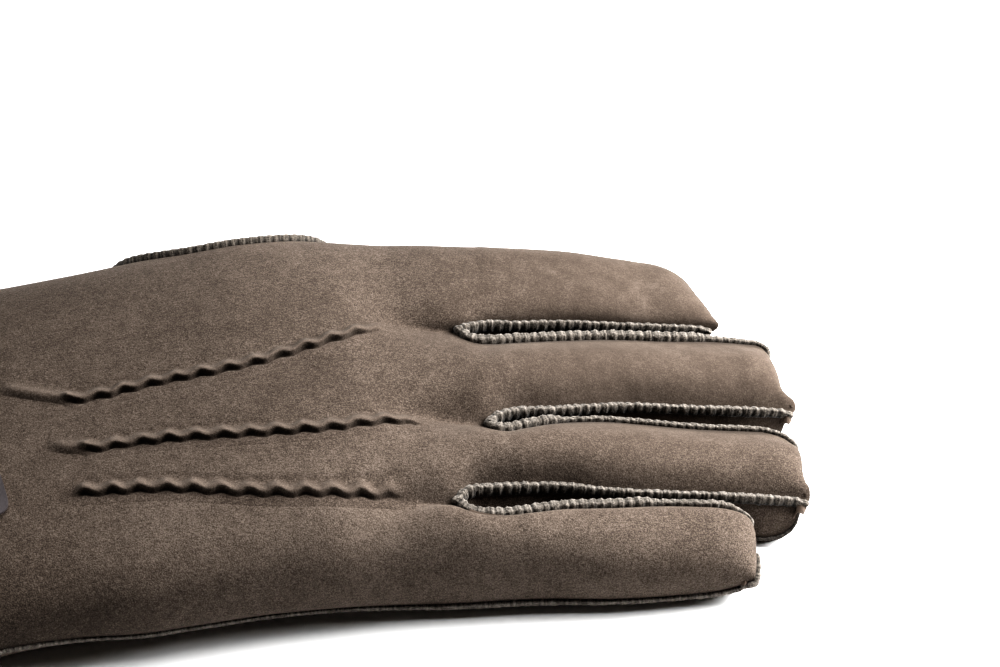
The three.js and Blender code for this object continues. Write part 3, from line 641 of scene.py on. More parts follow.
def edgeMaterial():
    look = edgeLook
    share = look["shares"]
    shader = Shader("overcastEdge", Roughness=0.92, Sheen_Weight=0.15, Sheen_Roughness=0.5)
    shader.surface.inputs["Specular IOR Level"].default_value = 0.15
    fuzz = shader.noise(**look["fuzz"])
    patches = shader.noise(**look["patches"]).between(*look["grains"]["patches"])
    inputs = {"W": shader.attribute("along"), "Scale": look["ribs"], "Detail": 2}
    ribs = shader.node("ShaderNodeTexNoise", {"noise_dimensions": "1D"}, inputs)
    grain = fuzz * share["fuzz"] + ribs * share["ribs"]
    side = shader.mix(grain.between(*look["grains"]["side"]), *look["side"])
    cut = shader.mix(grain.between(*look["grains"]["cut"]), *look["cut"])
    mixed = shader.mix(shader.attribute("cutEdgeAndBounce") * patches, side, cut)
    threaded = shader.mix(shader.attribute("thread") * share["thread"], mixed, look["thread"])
    ropeShaded = shader.mix(shader.attribute("ropeShade") * share["ropeShade"], threaded, look["ropeShade"])
    shader.feed("Base Color", ropeShaded)
    shader.feed("Normal", shader.bump(grain, look["bump"]))
    return shader.material


suede = suedeMaterial()
inside = insideMaterial()
overcast = edgeMaterial()


def gridOf(bm, columns, rows, place):  # a grid whose u runs along +X and v along +Y, moved to place(i, j)
    made = bmesh.ops.create_grid(bm, x_segments=columns, y_segments=rows, size=1)
    for vert in made["verts"]:
        i = round((vert.co.x + 1) / 2 * columns)
        j = round((vert.co.y + 1) / 2 * rows)
        vert.co = toScene(place(i, j))
    return made["verts"]


def merge(bm):
    bmesh.ops.remove_doubles(bm, verts=bm.verts, dist=2e-6)


def addObject(name, data):
    made = bpy.data.objects.new(name, data)
    bpy.context.scene.collection.objects.link(made)
    return made


def finish(bm, name, materials, nodes, sharp=50):
    for edge in bm.edges:
        edge.smooth = len(edge.link_faces) == 2 and edge.calc_face_angle(0) < math.radians(sharp)
    for face in bm.faces:
        face.smooth = True
    mesh = bpy.data.meshes.new(name)
    bm.to_mesh(mesh)
    bm.free()
    for material in materials:
        mesh.materials.append(material)
    piece = addObject(name, mesh)
    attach(piece, "root")
    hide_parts(*nodes)


# Where the tucks run over the back, and how far a soft fold leads up to each.
tuckPlaces = [-124, -112, -104, -84, -60, -40, -24]
tucks = {
    "tuck_little": {
        "from": -103.5, "to": -24.5, "lead": 2, "y": [-20, -20.2, -20.7, -22.8, -27.4, -28.8, -27.6],
    },
    "tuck_ring": {
        "from": -102.5, "to": -18, "lead": 9, "y": [-2, -4.4, -7, -7.8, -10, -9.9, -6.9],
    },
    "tuck_index": {
        "from": -107, "to": -25, "lead": 17, "y": [17.6, 12.4, 10, 11.6, 13.3, 19.2, 26.2],
    },
}
tuckLook = {
    "pitch": 6.65,  # of its waves
    "sway": 0.52,  # how far they go from side to side
    "height": 1.6,
    "overhang": 0.75,
    "rises": (-1, 2.5),  # where it rises, from its start
    "fades": (2, -9),  # and where it dies away, from its end
    "vary": {"by": 0.22, "size": 4},  # in height
    "uneven": {"by": 0.6, "size": 13},  # in the pitch of its waves
    "farFlank": 1.35,
    "nearFlank": 1.1,
    "crest": (-0.7, 1.5),
    "taller": 0.1,  # share by which it is higher on a crest
    "pit": {"deep": 0.6, "least": 0.62, "at": -1.5, "wide": (0.42, 0.5), "dark": 0.5},  # on its near side; its dark share is painted shade
    "dip": {"deep": 0.2, "at": 2.6, "wide": 1.1},  # beyond it
    "fold": {  # leads up to it, with painted shade beside it and a painted highlight on it
        "rises": 5, "ends": 3, "high": 1.1, "wide": 2, "deep": 0.5, "at": -2.4, "least": 4,
        "dark": 0.35, "darkAt": -1.9, "darkWide": 0.9, "highlight": 0.5,
    },
    # painted shade on the ridge's steep near face, and a painted highlight along its crest, made uneven in
    # patches
    "face": {"steep": (0.92, -0.45), "below": (-2.1, 0.5), "dark": 0.55},
    "highlight": {"at": 0.1, "wide": 0.75, "share": 0.8},
    "shadeUneven": {"by": 0.35, "size": 1.5},
    "skin": 0.4,
    "clear": 0.03,  # how far its mesh lies above the panel
    "sunkRim": 0.12,  # and its rim below that
    "tail": 3,
    "rim": 0.7,  # width over which its mesh runs into the panel
    "endRim": 1.2,
    "reach": 5,  # of its mesh to each side
    "step": 0.3,
    "across": 52,
    "closer": 1.5,
    "dent": {"deep": 1.5, "reach": 3.8, "flat": 1.3, "ends": 3, "above": 0.018},  # in the panel below it
}
tuckTables = {name: Table("x y", list(zip(tuckPlaces, row["y"]))) for name, row in tucks.items()}


# The two panels are grids, a strip for each finger, that share their edges up to the slits.
panelGrid = {
    "cuff": -165,
    "step": 1.15,
    "palmCoarser": 1.5,
    "tipRows": 22,
    "columns": [40, 27, 27, 44],
    "palmColumns": [22, 14, 14, 40],
    "closer": 0.55,  # how much closer the columns are near the two edges of a strip
    "skin": 1.8,
    "pared": 0.35,  # share of it that is left at a seam
    # how far the painted shade reaches in from the seams
    "paintedShade": 1.6,
    "soft": {"from": -60, "to": 4, "rounds": 14},  # where the back is smoothed
}
thumbHole = {
    "x": -66, "halfLength": 31, "angle": -6, "halfAngle": 40,
    "beyond": 30, "before": -25,  # the part of a panel in which it is cut
}


def stripRows(f, step):
    shared = round(-panelGrid["cuff"] / step)
    rows = [(lerp(panelGrid["cuff"], 0, i / shared), 0) for i in range(shared + 1)]
    own = math.ceil(tipStart(f) / step)
    rows += [(lerp(0, tipStart(f), i / own), 0) for i in range(1, own + 1)]
    turns = panelGrid["tipRows"]
    return rows + [(tipStart(f), i / turns) for i in range(1, turns + 1)]


def easedShare(u):  # of the way across a strip
    return u - panelGrid["closer"] * math.sin(2 * math.pi * u) / (2 * math.pi)


def inHole(x, angle):  # under 1 inside the thumb's hole
    along = (x - thumbHole["x"]) / thumbHole["halfLength"]
    return math.hypot(along, (angle - thumbHole["angle"]) / thumbHole["halfAngle"])


def cutHole(bm, isPalm):
    spots = {}
    for vert in bm.verts:
        x, y = millimetres(vert)
        if y > thumbHole["beyond"] and x < thumbHole["before"]:
            angle = angleAt(x, y) * (-1 if isPalm else 1)
            spots[vert] = (x, angle, inHole(x, angle))
    inner = [f for f in bm.faces if all(v in spots and spots[v][2] < 1 for v in f.verts)]
    bmesh.ops.delete(bm, geom=inner, context="FACES")
    for vert in [v for v in bm.verts if v in spots and spots[v][2] < 1]:
        x, angle, share = spots[vert]
        x = thumbHole["x"] + (x - thumbHole["x"]) / share
        angle = thumbHole["angle"] + (angle - thumbHole["angle"]) / share
        vert.co = toScene((x, *handAtAngle(x, angle)))


def soften(bm):  # the valleys between the knuckles are soft, and the fingers' edges stay
    soft = panelGrid["soft"]
    verts = [v for v in bm.verts if not v.is_boundary and soft["from"] < millimetres(v)[0] < soft["to"]]
    for _ in range(soft["rounds"]):
        bmesh.ops.smooth_vert(bm, verts=verts, factor=0.5, use_axis_x=True, use_axis_y=True, use_axis_z=True)


def panelSheet(isPalm):
    bm = bmesh.new()
    step = panelGrid["step"] * (panelGrid["palmCoarser"] if isPalm else 1)
    for f in range(len(fingers)):
        rows = stripRows(f, step)
        columns = panelGrid["palmColumns" if isPalm else "columns"][f]

        def place(i, j):
            return fingerPoint(f, easedShare(j / columns), *rows[i], isPalm)

        gridOf(bm, len(rows) - 1, columns, place)
    merge(bm)
    cutHole(bm, isPalm)
    if isPalm:
        bmesh.ops.reverse_faces(bm, faces=bm.faces)
    else:
        soften(bm)
    return bm


def treeOf(spots):
    tree = KDTree(len(spots))
    for i, spot in enumerate(spots):
        tree.insert(spot, i)
    tree.balance()
    return tree


def markEdgeShade(bm, reach):  # painted shade close to the sheet's edges, where its seams would shade it
    layer = bm.verts.layers.float.new("paintedShade")
    tree = treeOf([v.co.copy() for v in bm.verts if v.is_boundary])
    for vert in bm.verts:
        distance = tree.find(vert.co)[2] * 1000
        vert[layer] = 1 - smooth(distance / reach)


def dentForTucks(bm):
    dent = tuckLook["dent"]
    for vert in bm.verts:
        x, y = millimetres(vert)
        for name, row in tucks.items():
            if row["from"] - 1 < x < row["to"] + 1 and vert.co.z > dent["above"]:
                away = abs(y - tuckTables[name].at("y", x)) / dent["reach"]
                ends = ramp(x, row["from"] - 1, dent["ends"]) * ramp(x, row["to"] + 1, -dent["ends"])
                vert.co.z -= dent["deep"] * smooth(dent["flat"] * (1 - away)) * ends / 1000


# Painted shade below the near seam of a slot, where the seam would shade the suede, and a painted highlight
# above its far one.
slotNap = {
    "apart": 1.5,  # stretch in which the one turns into the other
    "pressed": (1.5, 3.2),
    "lit": (3, -1.5),
    "highlighted": (0.8, 1.3),
    "highlight": 0.8,
}


def markSlots(bm):
    look = slotNap
    paintedShade = bm.verts.layers.float["paintedShade"]
    highlight = bm.verts.layers.float.new("highlight")
    nearSeams = treeOf([toScene(row) for k in range(len(slots)) for row in nearLeg(k)])
    farSeams = treeOf([toScene(row) for k in range(len(slots)) for row in farLeg(k)])
    for vert in bm.verts:
        below = nearSeams.find(vert.co)[2] * 1000
        above = farSeams.find(vert.co)[2] * 1000
        far = smooth((below - above) / look["apart"])
        dark = max(vert[paintedShade], 1 - ramp(below, *look["pressed"]))
        vert[paintedShade] = dark * (1 - far * ramp(above, *look["lit"]))
        vert[highlight] = look["highlight"] * far * (1 - ramp(above, *look["highlighted"]))


# Patches of painted light and shade: paler where the lamps light the back too little, darker towards the
# wrist where the light falls off: middle, radii and amount.
lightPatches = [
    {"x": -51, "y": -34, "along": 55, "across": 18, "paler": 0.42},
    {"x": 30, "y": -48, "along": 45, "across": 12, "paler": 0.26},
    {"x": -130, "y": 58, "along": 40, "across": 24, "paler": -0.36},
    {"x": -140, "y": -58, "along": 40, "across": 20, "paler": -0.7},
]


def paintLightPatches(bm):
    layer = bm.verts.layers.float.new("paintedLightShade")
    for vert in bm.verts:
        x, y = millimetres(vert)
        for row in lightPatches:
            share = bell(x - row["x"], row["along"]) * bell(y - row["y"], row["across"])
            vert[layer] += row["paler"] * share


def thickenSheet(bm, skin):  # adds the inner side and the rims between the two
    bm.normal_update()
    copied = bmesh.ops.duplicate(bm, geom=list(bm.verts) + list(bm.edges) + list(bm.faces))["geom"]
    inner = [g for g in copied if isinstance(g, bmesh.types.BMFace)]
    innerVerts = [g for g in copied if isinstance(g, bmesh.types.BMVert)]
    normals = {v: v.normal.copy() for v in innerVerts}
    for vert in [v for v in innerVerts if v.is_boundary]:  # a rim leans as the sheet beside it does
        beside = [edge.other_vert(vert) for edge in vert.link_edges]
        beside += [edge.other_vert(v) for v in beside for edge in v.link_edges]
        normals[vert] = sum((v.normal for v in beside), Vector()).normalized()
    cuff = toScene((panelGrid["cuff"] + 1, 0, 0)).x
    for vert in innerVerts:
        isPared = vert.is_boundary and vert.co.x > cuff
        vert.co -= normals[vert] * skin * (panelGrid["pared"] if isPared else 1) / 1000
    bmesh.ops.reverse_faces(bm, faces=inner)
    for face in inner:
        face.material_index = 1
    bmesh.ops.bridge_loops(bm, edges=[e for e in bm.edges if e.is_boundary])


def panel(name, isPalm):
    bm = panelSheet(isPalm)
    markEdgeShade(bm, panelGrid["paintedShade"])
    surface = BVHTree.FromBMesh(bm)
    if not isPalm:
        markSlots(bm)
        paintLightPatches(bm)
        dentForTucks(bm)
    thickenSheet(bm, panelGrid["skin"])
    finish(bm, name, [suede, inside], [name])
    return surface


# Overcast seams. Two cut edges stand up together along a route, and the thread that goes over them draws
# them in, so that a lobe of suede bulges between every two stitches.
seamLook = {
    "wide": 1.0,  # half the width of the two layers
    "tall": 1.5,  # half their height
    "boxy": 0.82,  # exponent of their section
    "lift": 0.3,
    "pitch": 2.4,
    "lobePower": 0.8,
    "pinch": 0.3,  # how far a stitch draws the layers together
    "bite": 0.5,  # how far it sinks into the cut edges
    "cleft": 0.3,  # between the two layers
    "cleftWide": 0.3,
    "stagger": 0.28,  # how much higher the inner layer stands than the outer one
    "thread": 0.07,
    "threadWide": 0.1,
    "fuzz": {"by": 0.22, "size": 0.55},
    "drift": {"by": 0.16, "size": 25},  # how uneven its stitches are
    "vary": {"wide": 0.22, "tall": 0.16, "size": 3.1},  # and its lobes
    "taper": 1.1,  # how far from an open end it has its full size
    "around": 26,
    "steps": 11,
    "tangent": 3,  # steps to each side between which its way is taken
}
# Painted shade falls in the notches between lobes, deeper low down, in the cleft between the layers and on
# the rope's lower side.
seamShade = {  # heights round the section run from -1 to 1, and lobes from 0 to 1
    "crest": (0.45, 0.4),
    "low": (0.75, -1.1),
    "foot": (0.05, -0.8),
    "cleftWide": 0.2,
    "cleftDark": 0.35,
    "threadWide": 0.09,
    "threadLit": 0.3,
    "notchWide": (0.45, 0.95),  # on the crest and low down
    "notchDark": (0.35, 1),
    "cutLobe": (0.1, 0.6),
    "cutOuter": 0.6,
    # how far round the section the painted light from the floor reaches
    "paintedBounce": (-0.1, 0.7),
}
rowTilt, rowSize, rowLean = 3, 4, 5  # where a row of a route keeps them, after x, y and z


def resample(route, step, closed):  # rows of x, y, z, tilt, size and lean, spaced evenly
    rows = route + route[:1] if closed else route
    lengths = [0]
    for a, b in zip(rows, rows[1:]):
        lengths.append(lengths[-1] + math.dist(a[:3], b[:3]))
    count = max(2, round(lengths[-1] / step))
    out = []
    j = 0
    for i in range(count + 1):
        want = lengths[-1] * i / count
        while j < len(rows) - 2 and lengths[j + 1] < want:
            j += 1
        t = (want - lengths[j]) / max(lengths[j + 1] - lengths[j], 1e-9)
        out.append([lerp(a, b, t) for a, b in zip(rows[j], rows[j + 1])])
    return out


def standingFrame(before, after, up, tilt):  # across and up of the two standing edges
    tangent = (after - before).normalized()
    across = tangent.cross(up).normalized()
    up = across.cross(tangent)
    turn = math.radians(tilt)
    return across * math.cos(turn) + up * math.sin(turn), up * math.cos(turn) - across * math.sin(turn)


def seamFrames(rows, points, closed, ups):
    count = len(rows) - 1
    reach = seamLook["tangent"]
    frames = []
    for i, row in enumerate(rows):
        before = points[(i - reach) % count] if closed else points[max(i - reach, 0)]
        after = points[(i + reach) % count] if closed else points[min(i + reach, count)]
        up = ups[round(i / count * len(ups)) % len(ups)] if ups else Vector((0, 0, 1))
        frames.append(standingFrame(before, after, up, row[rowTilt]))
    return frames


def shadeSeam(vert, layers, theta, phase, extraShade, paintedBounce):
    look = seamShade
    cos = math.cos(theta)
    sin = math.sin(theta)
    lobe = abs(math.sin(math.pi * phase))
    thread = bell(abs(phase - round(phase)), look["threadWide"])
    crest = ramp(sin, *look["crest"])
    low = ramp(sin, *look["low"])
    notch = (1 - smooth(lobe / lerp(*look["notchWide"], low))) * lerp(*look["notchDark"], low)
    dark = notch * (1 - look["threadLit"] * thread) + look["cleftDark"] * crest * bell(cos, look["cleftWide"])
    cut = crest * lerp(look["cutOuter"], 1, smooth(0.5 - cos)) * ramp(lobe, *look["cutLobe"])
    # painted shade, plus a set amount more or less of it for the whole seam
    vert[layers["ropeShade"]] = clamp(dark + ramp(sin, *look["foot"]) + extraShade)
    # the raw cut edges are lighter in their own colour; the outer seam also gets painted light, standing in
    # for light from the bright floor
    vert[layers["cutEdgeAndBounce"]] = clamp(cut + paintedBounce * ramp(sin, *look["paintedBounce"]))
    vert[layers["thread"]] = thread


def seam(name, route, closed=False, ups=None, extraShade=0.0, paintedBounce=0.0):
    look = seamLook
    step = look["pitch"] / look["steps"]
    rows = resample(route, step, closed)
    count = len(rows) - 1
    points = [Vector(row[:3]) for row in rows]
    stitches = round(count / look["steps"])
    frames = seamFrames(rows, points, closed, ups)

    def stitchPhase(i, theta):
        i = i % count if closed else i
        drift = 0 if closed else look["drift"]["by"] * wobble(i, size=look["drift"]["size"])
        return i / count * stitches + rows[i][rowLean] * math.cos(theta) * 0.5 + drift

    def place(i, j):
        theta = 2 * math.pi * j / look["around"]
        cos = math.cos(theta)
        sin = math.sin(theta)
        phase = stitchPhase(i, theta)
        lobe = abs(math.sin(math.pi * phase)) ** look["lobePower"]
        size = rows[i][rowSize]
        own = fuzz = 0
        if not closed:
            ends = clamp(min(i, count - i) * step / look["taper"])
            size *= math.sqrt(1 - (1 - ends) ** 2)
            own = wobble(math.floor(phase) * 7.3, size=look["vary"]["size"])
            fuzz = wobble(points[i].x, points[i].y + cos * 2, sin * 2, size=look["fuzz"]["size"])
            fuzz *= look["fuzz"]["by"]
        wide = look["wide"] * (1 - look["pinch"] * (1 - lobe) + look["vary"]["wide"] * own)
        tall = look["tall"] * (1 + look["vary"]["tall"] * own) - look["stagger"] * cos * clamp(sin)
        cleft = look["cleft"] * bell(cos, look["cleftWide"]) * lobe
        tall -= clamp(sin) ** 2 * (look["bite"] * (1 - lobe) + cleft)
        thread = look["thread"] * bell(abs(phase - round(phase)), look["threadWide"]) * smooth(sin + 0.7)
        across, up = frames[i]
        reach = across * signedPower(cos, look["boxy"]) * (wide + thread + fuzz)
        rise = up * (signedPower(sin, look["boxy"]) * (tall + thread + fuzz) + look["lift"])
        return points[i] + (reach + rise) * size

    bm = bmesh.new()
    layers = {key: bm.verts.layers.float.new(key) for key in ("ropeShade", "cutEdgeAndBounce", "thread", "along")}
    for index, vert in enumerate(gridOf(bm, count, look["around"], place)):
        i = index % (count + 1)
        theta = 2 * math.pi * (index // (count + 1)) / look["around"]
        shadeSeam(vert, layers, theta, stitchPhase(i, theta), extraShade, paintedBounce)
        vert[layers["along"]] = i * step
    merge(bm)
    if bm.calc_volume(signed=True) < 0:
        bmesh.ops.reverse_faces(bm, faces=bm.faces)
    finish(bm, name, [overcast], [name], sharp=180)


# Routes are rows of x, y, z, the tilt in degrees, the size and the lean of the lobes.
stations = {
    "leg": 90, "closer": 1.7, "corner": 14, "tip": 70, "outer": 300, "outerCorner": 16, "roundTip": 21,
}
ropes = {
    "leg": {"size": 1.25, "farSize": 1.0, "over": 60, "tilt": -8, "lean": -0.25},
    "legEnd": {"over": 5, "size": 0.8, "tilt": 35, "drop": 0.3},
    "nearLeg": {"tilt": 12, "lean": -0.15, "over": 6},
    "tip": {
        "tilt": (15, 50, 105), "size": 0.5, "underSize": 0.8, "lean": (-0.3, -1.1), "out": (1.5, 0.2),
        "turns": (1, -0.3), "dives": (0.3, -0.1), "end": 0.07,
    },
    "beside": {"share": 0.03, "drop": 0.3, "out": 0.3},  # where a tip's rope lies by the edge of the back
    "palm": [70, 0.42, -0.3],
    "roundTip": {"share": 0.02, "tilt": 100, "size": (0.72, 0.36)},
}
thinRope = [(34, 0.85, -0.9), (14, 0.7, -1.0), (58, 0.75, -0.5)]  # from where, size and lean of its lobes


def ladder(start, end, count, power=1.0):
    return [lerp(start, end, (i / count) ** power) for i in range(count + 1)]


def easedIn(start, end, count):  # closer towards the end
    return [lerp(start, end, math.sin(math.pi / 2 * i / count)) for i in range(1, count + 1)]


def legStations(start, f, s, tuck=0.0):  # x from a slot's crotch to a fingertip's corner, closer at both
    tip = easedIn(tipStart(f), tipX(f, s) - tuck, stations["corner"])
    return ladder(start, tipStart(f), stations["leg"], stations["closer"]) + tip


def slotPlace(k, side, x, width, height):
    return [x, slotMid(k, x) + side * width(k, x) / 2, height]


def tipPlace(f, s, reach):  # beside a fingertip's seam, level with it
    share = ropes["beside"]["share"]
    a, spot, b = (fingerPoint(f, clamp(s + ds), tipStart(f), 1, False) for ds in (-share, 0, share))
    out = Vector((b[1] - a[1], a[0] - b[0], 0)).normalized() * reach
    return [spot[0] + out.x, spot[1] + out.y, spot[2] - ropes["beside"]["drop"]]


def tipRoute(f):  # from the far corner of a fingertip until its seam is out of sight
    look = ropes["tip"]
    start, along, below = look["tilt"]
    route = []
    for s in ladder(1, look["end"] + fingers[f]["shows"], stations["tip"]):
        under = hidden(f, s)
        turned = ramp(s, *look["turns"])
        tilt = lerp(lerp(start, along, turned), below, max(under, ramp(s, *look["dives"])))
        size = lerp(fingers[f]["rope"], look["size"], turned) * lerp(1, look["underSize"], under)
        place = tipPlace(f, s, form["edge"] * lerp(*look["out"], under))
        route.append(place + [tilt, size, lerp(*look["lean"], turned)])
    return route


def farLeg(k):  # from the corner of the far finger's tip back to the crotch
    leg, last = ropes["leg"], ropes["legEnd"]
    route = []
    for x in legStations(crotch(k), k + 1, 0)[::-1]:
        end = ramp(x, tipCorner(k + 1, False) - last["over"], last["over"])
        size = lerp(leg["size"], leg["farSize"], ramp(x, crotch(k), leg["over"]))
        place = slotPlace(k, 1, x, slotWidth, slots[k].at("z", x) - last["drop"] * end)
        tilt = lerp(leg["tilt"], last["tilt"], end)
        route.append(place + [tilt, lerp(size, last["size"], end), leg["lean"]])
    return route


def nearLeg(k):  # from the crotch to the far corner of the near finger's tip
    look = ropes["nearLeg"]
    thinFrom, thinSize, thinLean = thinRope[k]
    route = []
    for x in legStations(crotch(k), k, 1):
        thin = ramp(x, thinFrom, look["over"])
        size = lerp(ropes["leg"]["size"], thinSize, thin)
        size = lerp(size, fingers[k]["rope"], ramp(x, tipStart(k), look["over"]))
        place = slotPlace(k, -1, x, slotWidth, slots[k].at("z", x))
        route.append(place + [look["tilt"], size, lerp(look["lean"], thinLean, thin)])
    return route


def backRoute(k):
    return farLeg(k) + nearLeg(k)[1:] + tipRoute(k)[1:]


def palmPlace(k, side, x):
    place = slotPlace(k, side, x, palmWidth, 0)
    f, s = (k + 1, 0) if side > 0 else (k, 1)
    height = lerp(tipHeight(f, s) - form["tipLayers"], 0, palmArc(f, s, x))
    return [x, place[1] + palmSplay(k, side, x), palmSlot["ropeHeight"] + height]


def palmRoute(k):
    start = palmCrotches[k] + 0.2
    far, near = (
        [palmPlace(k, side, x) + ropes["palm"] for x in legStations(start, f, s, palmTuck(f, s))]
        for side, f, s in ((1, k + 1, 0), (-1, k, 1))
    )
    return far[::-1] + near[1:]


def outerRoute():  # from the cuff along the little finger's side and round the corner of its tip
    tilt, lean = outerSeam["tilt"], outerSeam["lean"]
    tip = easedIn(tipStart(0), tipX(0, 0), stations["outerCorner"])
    route = []
    for x in ladder(panelGrid["cuff"], tipStart(0), stations["outer"]) + tip:
        inset = nearInset(nearAngle(x, seamHeight(x)))
        along = clamp((x - tipStart(0)) / (tipX(0, 0) - tipStart(0)))
        lift = outerSeam["tipClimb"] * (1 - math.sqrt(1 - along ** 2))
        y = hand.at("near", x) + nearReach(x) * inset - outerSeam["out"]
        route.append([x, y, seamHeight(x) + lift, tilt, outerHeights.at("size", x), lean])
    look = ropes["roundTip"]
    for i in range(1, stations["roundTip"] + 1):
        t = i / stations["roundTip"]
        place = tipPlace(0, look["share"] * i, ropes["beside"]["out"])
        route.append(place + [lerp(tilt, look["tilt"], t), lerp(*look["size"], t ** 2), lean])
    return route


backSurface = panel("back_panel", False)
print("back panel done")
panel("palm_panel", True)
print("palm panel done")
# The palm seams get more painted shade all over.
for k, slotName in enumerate(slotNames):
    seam("seam_back_" + slotName, backRoute(k))
    seam("seam_palm_" + slotName, palmRoute(k), extraShade=0.5)
seam("seam_tip_index", tipRoute(3))
# The outer seam gets less painted shade, and painted light on its cut edges, standing in for light from the
# bright floor in front of it.
seam("seam_outer", outerRoute()[::-1], extraShade=-0.35, paintedBounce=0.8)
print("overcast seams done")


# The thumb's seam runs round its hole.
def holeRing(angle, offset, lift):
    def turnAt(a):
        return thumbHole["angle"] + thumbHole["halfAngle"] * math.sin(a)

    def at(a):
        x = thumbHole["x"] + thumbHole["halfLength"] * math.cos(a)
        return Vector((x, *handAtAngle(x, turnAt(a))))

    spot = at(angle)
    along = (at(angle + 0.02) - at(angle - 0.02)).normalized()
    before = handAtAngle(spot.x, turnAt(angle) - 0.5)
    after = handAtAngle(spot.x, turnAt(angle) + 0.5)
    normal = Vector((0, after[1] - before[1], before[0] - after[0])).normalized()
    normal = (normal - along * normal.dot(along)).normalized()
    return spot + normal.cross(along) * offset + normal * lift, normal


thumbRope = {"points": 240, "lift": 0.1, "tilt": 0, "size": 1, "lean": 0.5}
ring = [
    holeRing(2 * math.pi * i / thumbRope["points"], 0, thumbRope["lift"]) for i in range(thumbRope["points"])
]
ringRows = [[*point, thumbRope["tilt"], thumbRope["size"], thumbRope["lean"]] for point, normal in ring]
seam("seam_thumb", ringRows, True, [normal for point, normal in ring])

thumbShape = Table("step x y z turn half rise", [
    (0, -64.5, 73.4, 13.4, 6, 25.5, 10.2),
    (1, -57.5, 75.8, 10.4, 26, 20, 9.2),
    (2, -49, 77.4, 8.8, 56, 14, 8.6),
    (3, -38, 76.4, 8.4, 80, 10.8, 8.4),
    (4, -27, 74.6, 8.2, 92, 10.2, 8.2),
    (5, -16, 72.6, 8, 94, 9.6, 8),
    (6, -8.5, 71.6, 7.8, 94, 8, 6.8),
    (7, -4.5, 71.2, 7.8, 94, 5.2, 4.6),
    (8, -2.8, 71, 7.8, 94, 0, 0),
])
thumbGrid = {
    # the third number is how far the painted shade reaches in from its edges
    "around": 72, "rows": 90, "paintedShade": 2.2,
    "collar": 6, "collarStep": 0.15, "collarRise": 1.8, "collarLean": 0.7,
}


def thumbPoint(i, j):  # a collar inside the hole's seam, then on to the thumb's first ring and along it
    angle = 2 * math.pi * (j % thumbGrid["around"]) / thumbGrid["around"]
    collar = thumbGrid["collar"]
    rise = thumbGrid["collarRise"] - thumbGrid["collarLean"] * math.sin(angle)
    row = min(i, collar)
    inner = holeRing(angle, -form["edge"] - thumbGrid["collarStep"] * row, rise * row / collar)[0]
    if i <= collar:
        return inner
    step = (i - collar) / (thumbGrid["rows"] - collar) * len(thumbShape.x) - 1
    return inner.lerp(thumbRing(0, angle), step + 1) if step < 0 else thumbRing(step, angle)


def thumbRing(step, angle):
    x, y, z = (thumbShape.at(key, step) for key in ("x", "y", "z"))
    turn = math.radians(thumbShape.at("turn", step))
    reach = thumbShape.at("half", step) * math.cos(angle)
    height = max(0, z + thumbShape.at("rise", step) * math.sin(angle))
    return Vector((x + reach * math.cos(turn), y - reach * math.sin(turn), height))


def thumb():
    bm = bmesh.new()
    gridOf(bm, thumbGrid["rows"], thumbGrid["around"], thumbPoint)
    merge(bm)
    markEdgeShade(bm, thumbGrid["paintedShade"])
    thickenSheet(bm, panelGrid["skin"])
    finish(bm, "thumb", [suede, inside], ["thumb"])


thumb()
print("thumb done")


# Side strips fold round each slot, between the back's seam and the palm's.
stripLook = {
    "levels": 16,
    "inset": 0.2,  # how far its two edges stop short of the seams
    "skin": 1.2,
    # how far the painted shade reaches in from its edges
    "paintedShade": 2.2,
    "puff": {"most": 0.9, "share": 0.22},  # how far it bulges into its slot
    "crinkle": {"by": 0.25, "size": 5},
    "roll": {"by": 1.9, "starts": (-11, 4), "ends": (6, -10)},  # into view beside the widest slot
}


def sideStrip(k):
    look = stripLook
    turn = len(legStations(0, k, 1)) - 1
    count = 2 * turn

    def place(i, j):
        level = j / look["levels"]
        side = -1 if i < turn else 1
        step = abs(i - turn)
        f, s = (k, 1) if side < 0 else (k + 1, 0)
        topX = stripStations[crotch(k), f, s][step]
        lowX = stripStations[palmCrotches[k], f, s][step]
        top = slotPlace(k, side if step else 0, topX, slotWidth, slots[k].at("z", topX) - look["inset"])
        low = palmPlace(k, side, lowX) if step else slotPlace(k, 0, lowX, palmWidth, palmSlot["ropeHeight"])
        arch = math.sin(math.pi * level)
        bulge = min(look["puff"]["most"], look["puff"]["share"] * slotWidth(k, topX)) * arch
        if side < 0 and k == 0:
            roll = look["roll"]
            shows = ramp(topX, *roll["starts"]) * ramp(topX, *roll["ends"])
            bulge += roll["by"] * shows * math.sin(math.pi * level ** 2)
        bulge += look["crinkle"]["by"] * wobble(topX, 5 * level + 9 * k, side, look["crinkle"]["size"]) * arch
        y = lerp(low[1], top[1], level) - side * bulge
        return lerp(low[0], top[0], level), y, lerp(low[2] + look["inset"], top[2], level)

    bm = bmesh.new()
    gridOf(bm, count, look["levels"], place)
    markEdgeShade(bm, look["paintedShade"])
    thickenSheet(bm, look["skin"])
    name = "side_strip_" + slotNames[k]
    finish(bm, name, [suede, inside], [name])


stripStations = {
    (start, f, s): legStations(start, f, s, palmTuck(f, s) if isPalm else form["stripTuck"])
    for k in range(3)
    for start, isPalm in ((crotch(k), False), (palmCrotches[k], True))
    for f, s in ((k, 1), (k + 1, 0))
}
for k in range(3):
    sideStrip(k)
print("side strips done")


# Tucks: a pinched ridge of the back's own suede, drawn into waves by its running stitch. The panel is
# dented under each, so that the ridge's foot can dip.
def backAt(x, y):  # the mean over a few points, so that no single face shows
    total = 0
    for dx, dy in ((0, 0), (0.8, 0), (-0.8, 0), (0, 0.8), (0, -0.8)):
        total += backSurface.ray_cast(toScene((x + dx, y + dy, 60)), Vector((0, 0, -1)))[0].z * 1000
    return total / 5


